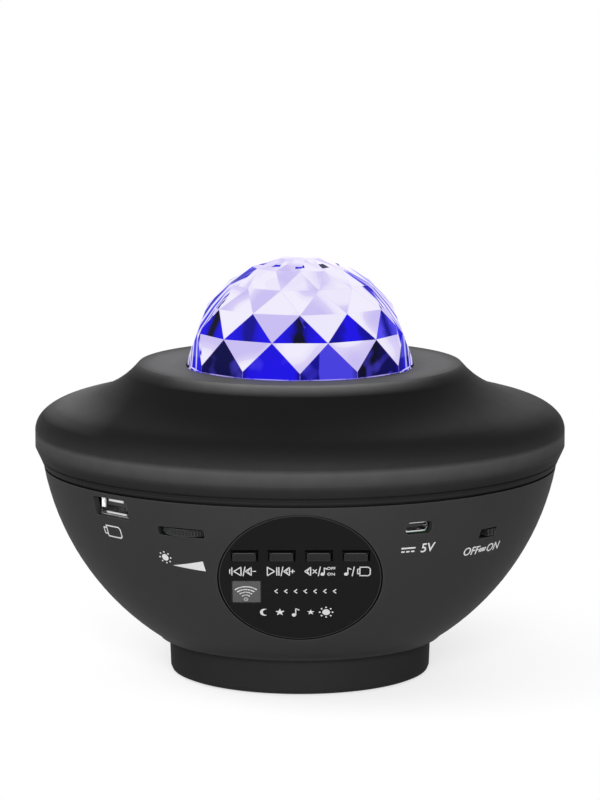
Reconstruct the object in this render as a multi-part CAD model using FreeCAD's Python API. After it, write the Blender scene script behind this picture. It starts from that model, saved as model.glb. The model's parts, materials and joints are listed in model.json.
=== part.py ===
import FreeCAD, Part
import math
import os

# Star night light projector: a bowl and a stepped cover on a round foot, a faceted dome
# lens on top, a round keypad panel and a row of sockets in front, a down-firing speaker
# in the foot and a geared lamp unit under the dome.
# Millimetres. +Z is up, the keypad faces -Y and the origin is the centre of the foot's
# underside, at the level of its rubber pads.

V = FreeCAD.Vector
Z_AXIS = V(0, 0, 1)
ORIGIN = V(0, 0, 0)

# Casing
bowl_radius = 81.2           # outside radius of the spherical bowl
bowl_base_radius = 43.76     # radius of the bowl where it meets the foot
wall = 2.2                   # moulded wall of the bowl and the foot
cover_wall = 2.2
bowl_base_z = 12.0           # underside of the bowl, where the foot starts
bowl_edge_round = 1.0
floor_thickness = 2.2
floor_ring_width = 11.76     # floor between the bowl's base and its hole
parting_drop = 14.9          # how far the joint line lies below the bowl's centre
parting_gap = 0.6
tongue_height = 3.5
tongue_thickness = 1.1
tongue_clearance = 0.25
brim_overhang = 2.68         # how far the brim stands out past the bowl's edge
brim_rise = 6.5              # from the joint line to the foot of the upright band
brim_band = 4.5              # height of that band
lip_groove_depth = 0.35
lip_groove_share = 0.35      # place of the groove up the slanting lip
plateau_radius = 50.9
plateau_rise = 20.8          # from the top of the band to the plateau
plateau_edge_round = 0.7
# Points of the cover's sweep: shares of the way in from the brim to the plateau, and of the rise
crown_shape = ((0.0285, 0.168), (0.155, 0.336), (0.380, 0.447), (0.639, 0.572), (0.858, 0.764))
plateau_dip = 0.8            # fall of the plateau from its edge to the dome

# Dome lens
dome_radius = 35.0
dome_centre_sink = 0.95      # how far its centre lies below the middle of the plateau
dome_sides = 12
dome_ring_step = 15.0        # degrees of latitude between rings of corners
dome_first_ring = 5.0        # latitude of the lowest full ring of corners
dome_wall = 3.8
dome_flange_width = 3.6      # how far the flange stands out past the dome
dome_flange_thickness = 1.6
dome_clearance = 0.3

# Foot
foot_step = 2.76             # how far the foot is set in from the bowl's base
foot_taper = 0.4
foot_edge_round = 1.5
foot_gap = 0.3
pad_height = 0.5             # how far the pads stand out of the foot
pad_recess = 1.2
pad_radius = 4.5
pad_inset = 3.1              # from a pad to the foot's lower edge
pad_angle = 60.0
grille_slot = 2.0
grille_pitch = 4.6
grille_rings = 4
grille_first = 4.6           # radius of the innermost ring of slots
grille_arcs = 5
grille_bridge = 3.2          # solid bridge between the ends of two slots

# Screws
screw_radius = 1.25
screw_head_radius = 2.4
screw_head_height = 1.6
screw_clearance = 0.05
small_screw_radius = 0.9
small_head_radius = 1.7
small_head_height = 1.1
boss_radius = 3.2
boss_clearance = 0.05
tower_screw_bite = 5.0       # how far each kind of screw goes into its boss
chassis_screw_bite = 7.0
base_screw_bite = 5.0
board_screw_bite = 6.0
retainer_screw_bite = 2.4
key_screw_bite = 3.4
bite_spare = 1.0             # hole past the tip of a screw
head_depth = 3.4             # from the foot's underside up to its screw heads

# Towers that take the long housing screws
tower_inset = 7.26           # from the bowl's base edge to the towers' axes
tower_angle = 45.0
tower_wall = 1.8
tower_well_gap = 0.4         # room round a screw head in the tower
tower_drop = 3.5             # from the joint line down to the tops of the towers
tower_seat = 2.4             # material under a screw head
base_screw_inset = 6.0       # from the foot's edge to its screws

# Keypad panel, a flat disc let into the bowl
panel_tilt = 29.7            # the panel looks down by this angle
panel_flat_radius = 25.2     # flat circle cut on the bowl
panel_gap = 0.3
panel_margin = 0.6           # rim of the flat left round the panel's recess
panel_thickness = 1.8
panel_sink = 0.1
panel_ledge = 1.7            # step that the panel is seated on
panel_ring_depth = 4.4
panel_ring_extra = 2.2
key_count = 4
key_side_gap = 0.215         # between the outer keys and the bowl's ring
key_width = 7.0
key_height = 3.1
key_round = 0.7
key_row = 8.4                # height of the row of keys above the panel centre
key_gap = 0.2
key_proud = 0.45
key_flange = 0.8
key_flange_thickness = 0.9
key_travel = 0.3
key_stem_width = 3.0
key_stem_length = 1.5
tact_size = 6.0
tact_height = 3.4
plunger_radius = 1.7
plunger_proud = 0.9
plunger_guide = 1.0
plunger_gap = 0.05
key_board_gap = 0.9          # between the key board and the bowl's ring
key_board_thickness = 1.2
key_post_inset = 2.5         # from the key board's edge to its posts
key_post_angles = (90.0, 221.0, 319.0)
key_post_radius = 2.0
window_size = 8.3
window_margin = 2.05         # from the pane's corner to the panel's edge
window_y = -5.5
window_thickness = 1.5
window_gap = 0.15
receiver_width = 5.2
receiver_depth = 4.0
receiver_height = 3.2

# Main circuit board and what stands on it
board_drop = 9.3             # from the joint line down to the board's upper face
board_thickness = 1.6
board_tower_gap = 2.9        # between the board and the towers
board_edge_gap = 0.9         # between the board's rim and the bowl
board_span = 64.0            # degrees each side of the front
board_notch_gap = 1.6        # between the board and the panel's ring
board_gap = 0.1
board_post_angles = (38.0, 61.0)
board_post_insets = (7.0, 1.0)   # from the middle of the board's width in to each pair of posts
chip_inset = 6.0             # from the board's inner edge to its parts
chip_size = 9.0
chip_height = 1.4
capacitor_radius = 3.2
capacitor_height = 8.0

usb_angle = -46.1
usb_width = 13.2
usb_height = 5.7
usb_length = 13.5
usb_wall = 0.3
usb_lift = 1.9               # how far its legs raise the socket off the board
usb_leg = 2.2
usb_mouth_sink = 2.4         # from the bowl's surface in to the socket's mouth
usb_tongue_width = 11.0
usb_tongue_thickness = 1.8
usb_tongue_drop = 0.7        # from the can's ceiling to the tongue
usb_tongue_recess = 1.2
usb_back = 4.0
usb_window_side = 1.0        # room each side of the socket in its window
usb_window_gap = 0.1         # room above and below it

micro_angle = 26.9
micro_width = 7.9
micro_height = 2.9
micro_length = 5.6
micro_wall = 0.35
micro_mouth_sink = 2.4
micro_window_gap = 0.43      # room round the socket in its window
micro_tongue_width = 5.6
micro_tongue_thickness = 0.7
micro_back = 1.4

dimmer_angle = -27.1
dimmer_radius = 9.0
dimmer_proud = 0.9
dimmer_thickness = 2.2
dimmer_lift = 0.1            # middle of the wheel above the board's upper face
dimmer_ribs = 60
dimmer_rib_depth = 0.3
dimmer_spindle = 2.0
dimmer_running = 0.05
dimmer_window_gap = 0.28     # room above and below the wheel
dimmer_side_gap = 0.9
pot_gap = 0.7
pot_thickness = 1.8
pot_radius = 4.0
pot_tail = 13.0
pot_tail_width = 8.0
pot_pin = 0.8

switch_angle = 47.5
switch_width = 12.0
switch_depth = 5.4
switch_height = 3.0
switch_gap = 0.35            # between the switch and the inside of the bowl
switch_wall = 1.2            # back wall of the switch
switch_knob_width = 3.2
switch_knob_height = 2.0
switch_knob_proud = 0.3
switch_knob_gap = 1.0        # between the knob's tail and the back wall
switch_travel = 3.0
switch_window_side = 0.6     # room each side of the knob at its ends of travel
switch_window_gap = 0.5      # room above and below the knob
switch_running = 0.1

# Lamp unit
chassis_rise = 2.7           # from the joint line up to the chassis plate's upper face
chassis_thickness = 2.2
chassis_screw_inset = 21.6   # from the cover's spigot to the chassis screws
chassis_rim = 6.0            # plate outside the screws
chassis_vent_inset = 6.0     # from the screws in to the vents
chassis_vent_width = 7.0
chassis_vent_half = 17.0     # degrees each side of the middle of a vent
cover_boss_radius = 3.4
lamp_x = -8.0                # axis of the lamp and of its ripple disc
ripple_rim = 2.88            # ring of the ripple gear inside its teeth
lamp_tube_wall = 1.6
lamp_tube_overlap = 5.0      # how far the tube stands up through its gear
sink_gap = 0.4               # between the heat sink and the tube
sink_thickness = 2.8
sink_fin_height = 10.0
sink_fins = 7
sink_fin_thickness = 1.2
sink_ledge = 1.8             # rim of the heat sink's plate that is seated
sink_fin_gap = 0.8           # between the fins and the hole that they pass
led_board_margin = 0.8       # rim of the heat sink outside the board
led_board_thickness = 1.6
led_size = 3.5
led_pitch = 6.4
led_height = 1.4
holder_height = 6.0
holder_ledge = 0.8           # step that the lens is seated on
holder_wall = 1.0
lens_radius = 8.6
lens_edge = 1.4
lens_crown = 4.0
led_screw_inset = 2.2        # from the lamp board's edge to its screws

gear_module = 0.8
gear_tip = 0.85              # height of a tooth above and below the pitch circle, in modules
gear_root = 1.15
gear_width = 3.5
gear_lift = 2.35             # from the motor's top to the gears
gear_backlash = 0.12
ripple_teeth = 52
grating_teeth = 24
pinion_teeth = 14
pinion_direction = 112.0     # where the motor sits round the lamp axis, in degrees
running_gap = 0.06
axial_gap = 0.3
collar_thickness = 1.4
collar_width = 2.0
ripple_hub_height = 5.6
ripple_lens_thickness = 2.0
ripple_count = 5
ripple_depth = 0.5
grating_hub_width = 2.2
grating_rim_gap = 1.0        # room between the laser's post and the rim of the grating
grating_thickness = 0.8
laser_radius = 4.0
laser_length = 20.0
laser_cap_length = 4.0
laser_post_wall = 1.2
laser_fit = 0.05
motor_radius = 8.0
motor_height = 10.4
motor_shaft_radius = 1.0
motor_shaft_running = 0.05
motor_ear_reach = 2.2        # from the motor's side to its screws
motor_ear_radius = 2.4
motor_ear_thickness = 1.2
retainer_lap = 5.6           # width of the dome's flange that the ring holds
retainer_rim = 3.4           # ring outside its screws
retainer_thickness = 2.0
retainer_screw_gap = 1.8     # between the flange and the cover's bosses

# Speaker in the foot
speaker_seat = 0.5
speaker_radius = 26.0
speaker_flange = 1.2
speaker_lug_reach = 2.6      # from the flange's edge to the screws in its lugs
speaker_lug_radius = 2.8
speaker_seat_width = 3.2
speaker_lug_angle = 30.0
basket_height = 9.5
basket_thickness = 1.0
basket_rim = 2.0             # flange outside the surround
basket_frame = 1.0           # metal left round the basket's windows
basket_window_half = 28.0    # degrees each side of the middle of a window
magnet_radius = 15.0
magnet_lap = 1.0             # how far the magnet stands out past the basket's back
magnet_height = 5.0
yoke_step = 0.8              # how far the yoke is set in from the magnet
yoke_height = 2.4
coil_radius = 6.9
coil_thickness = 0.5
coil_gap = 0.8               # room outside the voice coil
pole_gap = 1.3               # room inside the voice coil
cone_thickness = 0.5
cone_height = 6.4
cap_lap = 1.6                # how far the dust cap reaches past the coil
cap_crown = 2.6
surround_gap = 0.3
surround_rim = 1.7           # glued rim of the surround
surround_roll = 1.5
surround_thickness = 0.4
surround_seat = 0.9          # room round the glued rim inside the basket

# Casing, worked out from the sizes above
bowl_centre_z = bowl_base_z + math.sqrt(bowl_radius ** 2 - bowl_base_radius ** 2)
parting_z = bowl_centre_z - parting_drop


def sphere_radius_at(radius, z):
    """Radius, at a height, of a sphere about the bowl's centre."""
    return math.sqrt(radius ** 2 - (z - bowl_centre_z) ** 2)


brim_radius = sphere_radius_at(bowl_radius, parting_z) + brim_overhang
brim_low_z = parting_z + brim_rise
brim_top_z = brim_low_z + brim_band
plateau_z = brim_top_z + plateau_rise
dome_base_z = plateau_z - plateau_dip
dome_centre_z = dome_base_z - dome_centre_sink
dome_inner_radius = dome_radius - dome_wall
dome_flange_radius = dome_radius + dome_flange_width
dome_hole = dome_radius + dome_clearance + 0.2
retainer_inner = dome_flange_radius - retainer_lap
retainer_screw_circle = dome_flange_radius + retainer_screw_gap + boss_radius
retainer_outer = retainer_screw_circle + retainer_rim
foot_radius = bowl_base_radius - foot_step
foot_bottom_radius = foot_radius - foot_taper
floor_hole_radius = bowl_base_radius - floor_ring_width
pad_circle = foot_bottom_radius - pad_inset - pad_radius
base_screw_circle = foot_radius - base_screw_inset
tower_circle = bowl_base_radius - tower_inset
tower_well_radius = screw_head_radius + tower_well_gap
tower_radius = tower_well_radius + tower_wall
tower_top_z = parting_z - tower_drop

# Keypad
panel_radius = panel_flat_radius - panel_margin - panel_gap
panel_hole_radius = panel_radius + panel_gap - panel_ledge
panel_ring_radius = panel_flat_radius + panel_ring_extra
key_board_radius = panel_hole_radius - key_board_gap
key_post_circle = key_board_radius - key_post_inset
key_top = key_row + key_height / 2 + key_flange
key_reach = math.sqrt(panel_hole_radius ** 2 - key_top ** 2) - key_side_gap - key_width / 2
key_pitch = 2 * key_reach / (key_count - 1)
window_reach = math.sqrt((panel_radius - window_margin) ** 2 - (window_size / 2 - window_y) ** 2)
window_x = window_size / 2 - window_reach

# Lamp unit
chassis_top_z = parting_z + chassis_rise
chassis_screw_circle = sphere_radius_at(bowl_radius - wall, parting_z) - chassis_screw_inset
chassis_radius = chassis_screw_circle + chassis_rim
gear_bottom_z = chassis_top_z + boss_clearance + motor_height + gear_lift
lamp_tube_radius = gear_module * (ripple_teeth / 2 - gear_root) - ripple_rim
lamp_tube_inner = lamp_tube_radius - lamp_tube_wall
lamp_tube_top_z = gear_bottom_z + lamp_tube_overlap
sink_radius = lamp_tube_inner - sink_gap
sink_hole_radius = sink_radius - sink_ledge
sink_fin_radius = sink_hole_radius - sink_fin_gap
led_board_radius = sink_radius - led_board_margin
led_screw_circle = led_board_radius - led_screw_inset
holder_bore = lens_radius - holder_ledge
holder_radius = lens_radius + holder_wall
laser_post_radius = laser_radius + laser_post_wall
grating_hub_radius = laser_post_radius + grating_hub_width
motor_ear_circle = motor_radius + motor_ear_reach

# Speaker
surround_outer = speaker_radius - basket_rim
cone_outer_radius = surround_outer - surround_rim - 2 * surround_roll - surround_gap
speaker_lug_circle = speaker_radius + speaker_lug_reach
basket_top_radius = magnet_radius - magnet_lap
yoke_radius = magnet_radius - yoke_step
magnet_bore = coil_radius + coil_thickness + coil_gap
pole_radius = coil_radius - pole_gap
cap_radius = coil_radius + cap_lap


def polar(radius, angle, z=0.0):
    """Point at an angle from the front of the projector, positive towards +X."""
    a = math.radians(angle)
    return V(radius * math.sin(a), -radius * math.cos(a), z)


def cylinder(radius, z_low, z_high, at=ORIGIN):
    return Part.makeCylinder(radius, z_high - z_low, V(at.x, at.y, z_low))


def tube(outer, inner, z_low, z_high, at=ORIGIN):
    return cylinder(outer, z_low, z_high, at).cut(cylinder(inner, z_low, z_high, at))


def block(x_size, y_size, z_low, z_high, at=ORIGIN):
    corner = V(at.x - x_size / 2, at.y - y_size / 2, z_low)
    return Part.makeBox(x_size, y_size, z_high - z_low, corner)


def rounded_plate(width, height, radius, z_low, z_high, at=ORIGIN):
    """Plate with four rounded corners, lying flat."""
    plate = block(width, height, z_low, z_high, at)
    upright = [e for e in plate.Edges if abs(e.Vertexes[0].Z - e.Vertexes[-1].Z) > 1e-6]
    return plate.makeFillet(radius, upright)


def revolve(edges):
    face = Part.Face(Part.Wire(edges))
    return face.revolve(ORIGIN, Z_AXIS, 360)


def profile(points):
    """Closed chain of straight edges through points given as radius and height."""
    corners = [V(r, 0, z) for r, z in points]
    return [Part.LineSegment(a, b).toShape() for a, b in zip(corners, corners[1:] + corners[:1])]


def line(a, b):
    return Part.LineSegment(V(a[0], 0, a[1]), V(b[0], 0, b[1])).toShape()


def sphere_arc(radius, z_from, z_to):
    """Arc of a sphere about the bowl's centre, between two heights."""
    points = []
    for z in (z_from, (z_from + z_to) / 2, z_to):
        points.append(V(sphere_radius_at(radius, z), 0, z))
    return Part.Arc(*points).toShape()


def turned(shape, angle):
    """Copy of a shape modelled at the front, turned to an angle about the vertical."""
    copy = shape.copy()
    copy.rotate(ORIGIN, Z_AXIS, angle)
    return copy


def around(shape, count, first=0.0):
    return [turned(shape, first + 360.0 / count * i) for i in range(count)]


def join(shapes):
    result = shapes[0]
    for shape in shapes[1:]:
        result = result.fuse(shape)
    return result.removeSplitter()


def moved(shape, placement):
    copy = shape.copy()
    copy.Placement = placement.multiply(copy.Placement)
    return copy


# Panel frame: x along +X, y up the panel, z out of the panel, z = 0 on the bowl's flat.
panel_distance = math.sqrt(bowl_radius ** 2 - panel_flat_radius ** 2)
panel_normal = V(0, -math.cos(math.radians(panel_tilt)), -math.sin(math.radians(panel_tilt)))
panel_centre = V(0, 0, bowl_centre_z) + panel_normal * panel_distance
panel_frame = FreeCAD.Placement(panel_centre, FreeCAD.Rotation(V(1, 0, 0), 90 + panel_tilt))
panel_back = -panel_sink - panel_thickness
key_back = panel_back - key_gap - key_flange_thickness
stem_end = key_back - key_stem_length
tact_top = stem_end - plunger_gap - plunger_proud
key_board_top = tact_top - tact_height - plunger_gap
key_places = [V((i - (key_count - 1) / 2) * key_pitch, key_row, 0) for i in range(key_count)]


def screw(radius, head_radius, head_height, length):
    """Pan-head screw pointing down from z = 0, with a cross recess in its head."""
    shank = cylinder(radius, -length, 0)
    head = cylinder(head_radius, 0, head_height)
    head = head.makeChamfer(head_height * 0.35, [head.Edges[0]])
    arm = head_radius * 1.1
    slot = block(arm, arm * 0.25, head_height * 0.5, head_height + 1)
    cross = slot.fuse(turned(slot, 90))
    return shank.fuse(head).cut(cross).removeSplitter()


def casing_screw(length):
    return screw(screw_radius, screw_head_radius, screw_head_height, length)


def small_screw(length):
    return screw(small_screw_radius, small_head_radius, small_head_height, length)


def screws_at(shape, places, upside_down=False):
    group = []
    for place in places:
        rotation = FreeCAD.Rotation(V(1, 0, 0), 180 if upside_down else 0)
        group.append(moved(shape, FreeCAD.Placement(place, rotation)))
    return Part.makeCompound(group)


def quarter_places(circle, first, z):
    return [polar(circle, first + 90 * i, z) for i in range(4)]


def window(width, height, radius, angle, z):
    """Rounded bar through the bowl wall, to cut an opening at an angle and a height."""
    reach = 10 * wall
    bar = rounded_plate(width, height, radius, -reach, reach)
    bar.rotate(ORIGIN, V(1, 0, 0), 90)
    bar.translate(V(0, -bowl_radius, z))
    return turned(bar, angle)


# Heights and fits that several pieces share
bowl_inner_radius = bowl_radius - wall
board_top_z = parting_z - board_drop
board_bottom_z = board_top_z - board_thickness
board_inner_radius = tower_circle + tower_radius + board_tower_gap
board_outer_radius = sphere_radius_at(bowl_inner_radius, board_bottom_z) - board_edge_gap
board_middle = (board_inner_radius + board_outer_radius) / 2
board_post_places = [(board_middle - inset, side * angle)
                     for inset, angle in zip(board_post_insets, board_post_angles) for side in (-1, 1)]
usb_z = board_top_z + board_gap + usb_lift + usb_height / 2
usb_mouth_radius = sphere_radius_at(bowl_radius, usb_z) - usb_mouth_sink
micro_z = board_top_z + board_gap + micro_height / 2
micro_mouth_radius = sphere_radius_at(bowl_radius, micro_z) - micro_mouth_sink
switch_z = board_bottom_z - board_gap - switch_height / 2
switch_corner = sphere_radius_at(bowl_inner_radius, switch_z - switch_height / 2)
switch_front_radius = math.sqrt(switch_corner ** 2 - (switch_width / 2) ** 2) - switch_gap
dimmer_z = board_top_z + dimmer_lift
base_seat_z = pad_height + head_depth
foot_bottom_z = pad_height
foot_plate_z = foot_bottom_z + wall
foot_top_z = bowl_base_z - foot_gap
floor_top_z = bowl_base_z + floor_thickness
dimmer_surface = sphere_radius_at(bowl_radius, dimmer_z)
dimmer_centre = polar(dimmer_surface + dimmer_proud - dimmer_radius, dimmer_angle)
wheel_at_wall = dimmer_surface + dimmer_proud - dimmer_radius - sphere_radius_at(bowl_inner_radius, dimmer_z)
dimmer_window_width = 2 * (math.sqrt(dimmer_radius ** 2 - wheel_at_wall ** 2) + dimmer_side_gap)
lip_z = parting_z + parting_gap
tongue_inner = sphere_radius_at(bowl_inner_radius, parting_z)
tongue_outer = tongue_inner + tongue_thickness
tower_seat_z = tower_top_z - tower_seat


def bowl_envelope():
    top = parting_z
    start = bowl_base_z + bowl_edge_round
    base = sphere_radius_at(bowl_radius, start) - bowl_edge_round
    edges = [line((0, bowl_base_z), (base, bowl_base_z)),
             line((base, bowl_base_z), (sphere_radius_at(bowl_radius, start), start)),
             sphere_arc(bowl_radius, start, top),
             line((sphere_radius_at(bowl_radius, top), top), (tongue_outer, top)),
             line((tongue_outer, top), (tongue_outer, top + tongue_height)),
             line((tongue_outer, top + tongue_height), (0, top + tongue_height)),
             line((0, top + tongue_height), (0, bowl_base_z))]
    return revolve(edges)


def bowl_cavity():
    high = parting_z + tongue_height
    edges = [line((0, floor_top_z), (sphere_radius_at(bowl_inner_radius, floor_top_z), floor_top_z)),
             sphere_arc(bowl_inner_radius, floor_top_z, parting_z),
             line((tongue_inner, parting_z), (tongue_inner, high)),
             line((tongue_inner, high), (0, high)),
             line((0, high), (0, floor_top_z))]
    return revolve(edges)


def bowl_windows():
    usb_opening = usb_width + 2 * usb_window_side
    micro_margin = 2 * micro_window_gap
    switch_side = 2 * switch_window_side
    dimmer_window = dimmer_thickness + 2 * dimmer_window_gap
    switch_window = switch_knob_height + 2 * switch_window_gap
    return [window(usb_opening, usb_height + 2 * usb_window_gap, 0.8, usb_angle, usb_z),
            window(micro_width + micro_margin, micro_height + micro_margin, 1.2, micro_angle, micro_z),
            window(dimmer_window_width, dimmer_window, 0.8, dimmer_angle, dimmer_z),
            window(switch_knob_width + switch_travel + switch_side, switch_window, 0.6, switch_angle, switch_z)]


def bowl_shell():
    envelope = bowl_envelope()
    shell = envelope.cut(bowl_cavity())
    ring = cylinder(panel_ring_radius, -panel_ring_depth, panel_flat_radius)
    posts = [cylinder(tower_radius, bowl_base_z, tower_top_z, polar(tower_circle, tower_angle + 90 * i))
             for i in range(4)]
    posts += [cylinder(boss_radius, bowl_base_z, board_bottom_z, polar(r, a)) for r, a in board_post_places]
    base_hole_z = bowl_base_z + base_screw_bite + bite_spare
    posts += [cylinder(boss_radius, bowl_base_z, base_hole_z + wall, p)
              for p in quarter_places(base_screw_circle, 0, 0)]
    posts = [p.common(envelope) for p in posts]
    shell = join([shell, moved(ring, panel_frame).common(envelope)] + posts)
    shell = shell.cut(cylinder(floor_hole_radius, bowl_base_z - 1, floor_top_z + 1).cut(join(posts)))
    cap = cylinder(panel_flat_radius * 2, 0, panel_flat_radius)
    recess = cylinder(panel_radius + panel_gap, panel_back - boss_clearance, 1)
    through = cylinder(panel_hole_radius, -4 * panel_ring_depth, 1)
    for tool in (cap, recess, through):
        shell = shell.cut(moved(tool, panel_frame))
    for tool in bowl_windows():
        shell = shell.cut(tool)
    for p in quarter_places(tower_circle, tower_angle, 0):
        shell = shell.cut(cylinder(tower_well_radius, bowl_base_z - 1, tower_seat_z, p))
        shell = shell.cut(cylinder(screw_radius + screw_clearance, tower_seat_z - 1, tower_top_z + 1, p))
    for p in quarter_places(base_screw_circle, 0, 0):
        shell = shell.cut(cylinder(screw_radius + screw_clearance, bowl_base_z - 1, base_hole_z, p))
    low = board_bottom_z - board_screw_bite - bite_spare
    for r, a in board_post_places:
        hole = cylinder(small_screw_radius + screw_clearance, low, board_bottom_z + 1, polar(r, a))
        shell = shell.cut(hole)
    return shell.removeSplitter()


def cover_crown():
    """Sweep of the cover from the top of the brim's band up to the plateau."""
    points = [V(brim_radius, 0, brim_top_z)]
    for inward, upward in crown_shape:
        r = brim_radius + (plateau_radius - brim_radius) * inward
        points.append(V(r, 0, brim_top_z + plateau_rise * upward))
    points.append(V(plateau_radius, 0, plateau_z - plateau_edge_round))
    curve = Part.BSplineCurve()
    curve.interpolate(points)
    return curve


def inner_crown(curve, thickness, count=9):
    """The same sweep set in by the wall."""
    points = []
    for i in range(count):
        u = curve.FirstParameter + (curve.LastParameter - curve.FirstParameter) * i / (count - 1)
        across = curve.tangent(u)[0].cross(V(0, 1, 0))
        points.append(curve.value(u) + across * thickness)
    inner = Part.BSplineCurve()
    inner.interpolate(points)
    return inner


def cover_slant(share):
    """Point on the slanting lip of the cover, from its lower edge at 0 to the band at 1."""
    low = sphere_radius_at(bowl_radius, parting_z)
    return (low + (brim_radius - low) * share, lip_z + (brim_low_z - lip_z) * share)


def chain(points):
    return [line(a, b) for a, b in zip(points, points[1:])]


def cover_envelope():
    curve = cover_crown()
    groove = cover_slant(lip_groove_share)
    start = cover_slant(lip_groove_share - 0.06)
    end = cover_slant(lip_groove_share + 0.06)
    edges = chain([(0, lip_z), cover_slant(0), start, (groove[0] - lip_groove_depth, groove[1]), end,
                   (brim_radius, brim_low_z), (brim_radius, brim_top_z)])
    edges.append(curve.toShape())
    edge = (plateau_radius, plateau_z - plateau_edge_round)
    edges += chain([edge, (plateau_radius - plateau_edge_round, plateau_z), (dome_hole, dome_base_z),
                    (0, dome_base_z), (0, lip_z)])
    return revolve(edges)


def cover_cavity():
    inner = inner_crown(cover_crown(), cover_wall)
    low = inner.value(inner.FirstParameter)
    high = inner.value(inner.LastParameter)
    spigot = tongue_outer + tongue_clearance
    tongue_room = parting_z + tongue_height + 0.5
    edges = chain([(0, lip_z), (spigot, lip_z), (spigot, tongue_room), (low.x, brim_low_z), (low.x, low.z)])
    edges.append(inner.toShape())
    under = dome_base_z - cover_wall
    edges += chain([(high.x, high.z), (high.x - 1.5, under + 0.3), (0, under), (0, lip_z)])
    return revolve(edges)


flange_top_z = dome_base_z - cover_wall
flange_bottom_z = flange_top_z - dome_flange_thickness
retainer_top_z = flange_bottom_z - boss_clearance
retainer_bottom_z = retainer_top_z - retainer_thickness


def top_cover():
    envelope = cover_envelope()
    chassis_bosses = [cylinder(cover_boss_radius, chassis_top_z + boss_clearance, plateau_z, p)
                      for p in quarter_places(chassis_screw_circle, 0, 0)]
    retainer_bosses = [cylinder(boss_radius, retainer_top_z + boss_clearance, plateau_z, p)
                       for p in quarter_places(retainer_screw_circle, tower_angle, 0)]
    bosses = [b.common(envelope) for b in chassis_bosses + retainer_bosses]
    cover = join([envelope.cut(cover_cavity())] + bosses)
    cover = cover.cut(cylinder(dome_hole, retainer_bottom_z, plateau_z + 1))
    for p in quarter_places(chassis_screw_circle, 0, 0):
        high = chassis_top_z + chassis_screw_bite + bite_spare
        cover = cover.cut(cylinder(screw_radius + screw_clearance, chassis_top_z - 1, high, p))
    for p in quarter_places(retainer_screw_circle, tower_angle, 0):
        high = retainer_top_z + retainer_screw_bite + bite_spare / 2
        hole = cylinder(small_screw_radius + screw_clearance, retainer_top_z - 1, high, p)
        cover = cover.cut(hole)
    return cover.removeSplitter()


def dome_corner(latitude, azimuth):
    a = math.radians(latitude)
    point = polar(dome_radius * math.cos(a), azimuth)
    return V(point.x, point.y, dome_centre_z + dome_radius * math.sin(a))


def polygon(points):
    return Part.Face(Part.makePolygon(list(points) + [points[0]]))


def faceted_dome():
    """Solid cut like a gem: rings of corners, turned half a step from ring to ring."""
    step = 360.0 / dome_sides
    rings = []
    latitude = dome_first_ring
    while latitude < 90:
        shift = step / 2 * (len(rings) % 2)
        rings.append([dome_corner(latitude, step * i + shift) for i in range(dome_sides)])
        latitude += dome_ring_step
    faces = [polygon(rings[-1])]
    for low, high in zip(rings, rings[1:]):
        offset = 0 if rings.index(low) % 2 == 0 else 1
        for i in range(dome_sides):
            after = (i + 1) % dome_sides
            tip = (i + offset) % dome_sides
            if low is not rings[0]:
                faces.append(polygon([low[i], low[after], high[tip]]))
            faces.append(polygon([high[tip], low[after], high[(tip + 1) % dome_sides]]))
    base = skirt_corners(rings[0], rings[1])
    for i in range(dome_sides):
        after = (i + 1) % dome_sides
        faces.append(polygon([base[i], base[after], rings[0][after], rings[1][i], rings[0][i]]))
    faces.append(polygon(base))
    return Part.Solid(Part.Shell(faces))


def skirt_corners(first, second):
    """Corners at the dome's foot, in the planes of the lowest facets carried down."""
    middle = (first[0] + first[1]) * 0.5
    tip = second[0]
    inward = math.hypot(middle.x, middle.y) - math.hypot(tip.x, tip.y)
    drop = middle.z - dome_base_z
    apothem = math.hypot(middle.x, middle.y) + inward / (tip.z - middle.z) * drop
    radius = apothem / math.cos(math.pi / dome_sides)
    return [polar(radius, 360.0 / dome_sides * i, dome_base_z) for i in range(dome_sides)]


def dome_lens():
    skirt = cylinder(dome_radius - 0.6, flange_bottom_z, dome_base_z)
    flange = cylinder(dome_flange_radius, flange_bottom_z, flange_top_z - boss_clearance)
    outside = join([faceted_dome(), skirt, flange])
    hollow = Part.makeSphere(dome_inner_radius, V(0, 0, dome_centre_z))
    bore = cylinder(dome_inner_radius, flange_bottom_z - 1, dome_centre_z)
    hollow = hollow.common(cylinder(dome_radius, dome_centre_z - 0.01, dome_centre_z + dome_radius))
    return outside.cut(hollow.fuse(bore)).removeSplitter()


def dome_retainer():
    ring = tube(retainer_outer, retainer_inner, retainer_bottom_z, retainer_top_z)
    for p in quarter_places(retainer_screw_circle, tower_angle, 0):
        ring = ring.cut(cylinder(small_screw_radius + 0.2, retainer_bottom_z - 1, retainer_top_z + 1, p))
    return ring


def arc_slot(radius, width, half_angle, z_low, z_high):
    """Slot bent along a circle, centred on the front."""
    ring = tube(radius + width / 2, radius - width / 2, z_low, z_high)
    reach = 2 * radius + width
    left = polar(reach, -half_angle)
    right = polar(reach, half_angle)
    wedge = polygon([V(0, 0, z_low), V(left.x, left.y, z_low), V(right.x, right.y, z_low)])
    return ring.common(wedge.extrude(V(0, 0, z_high - z_low)))


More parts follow.
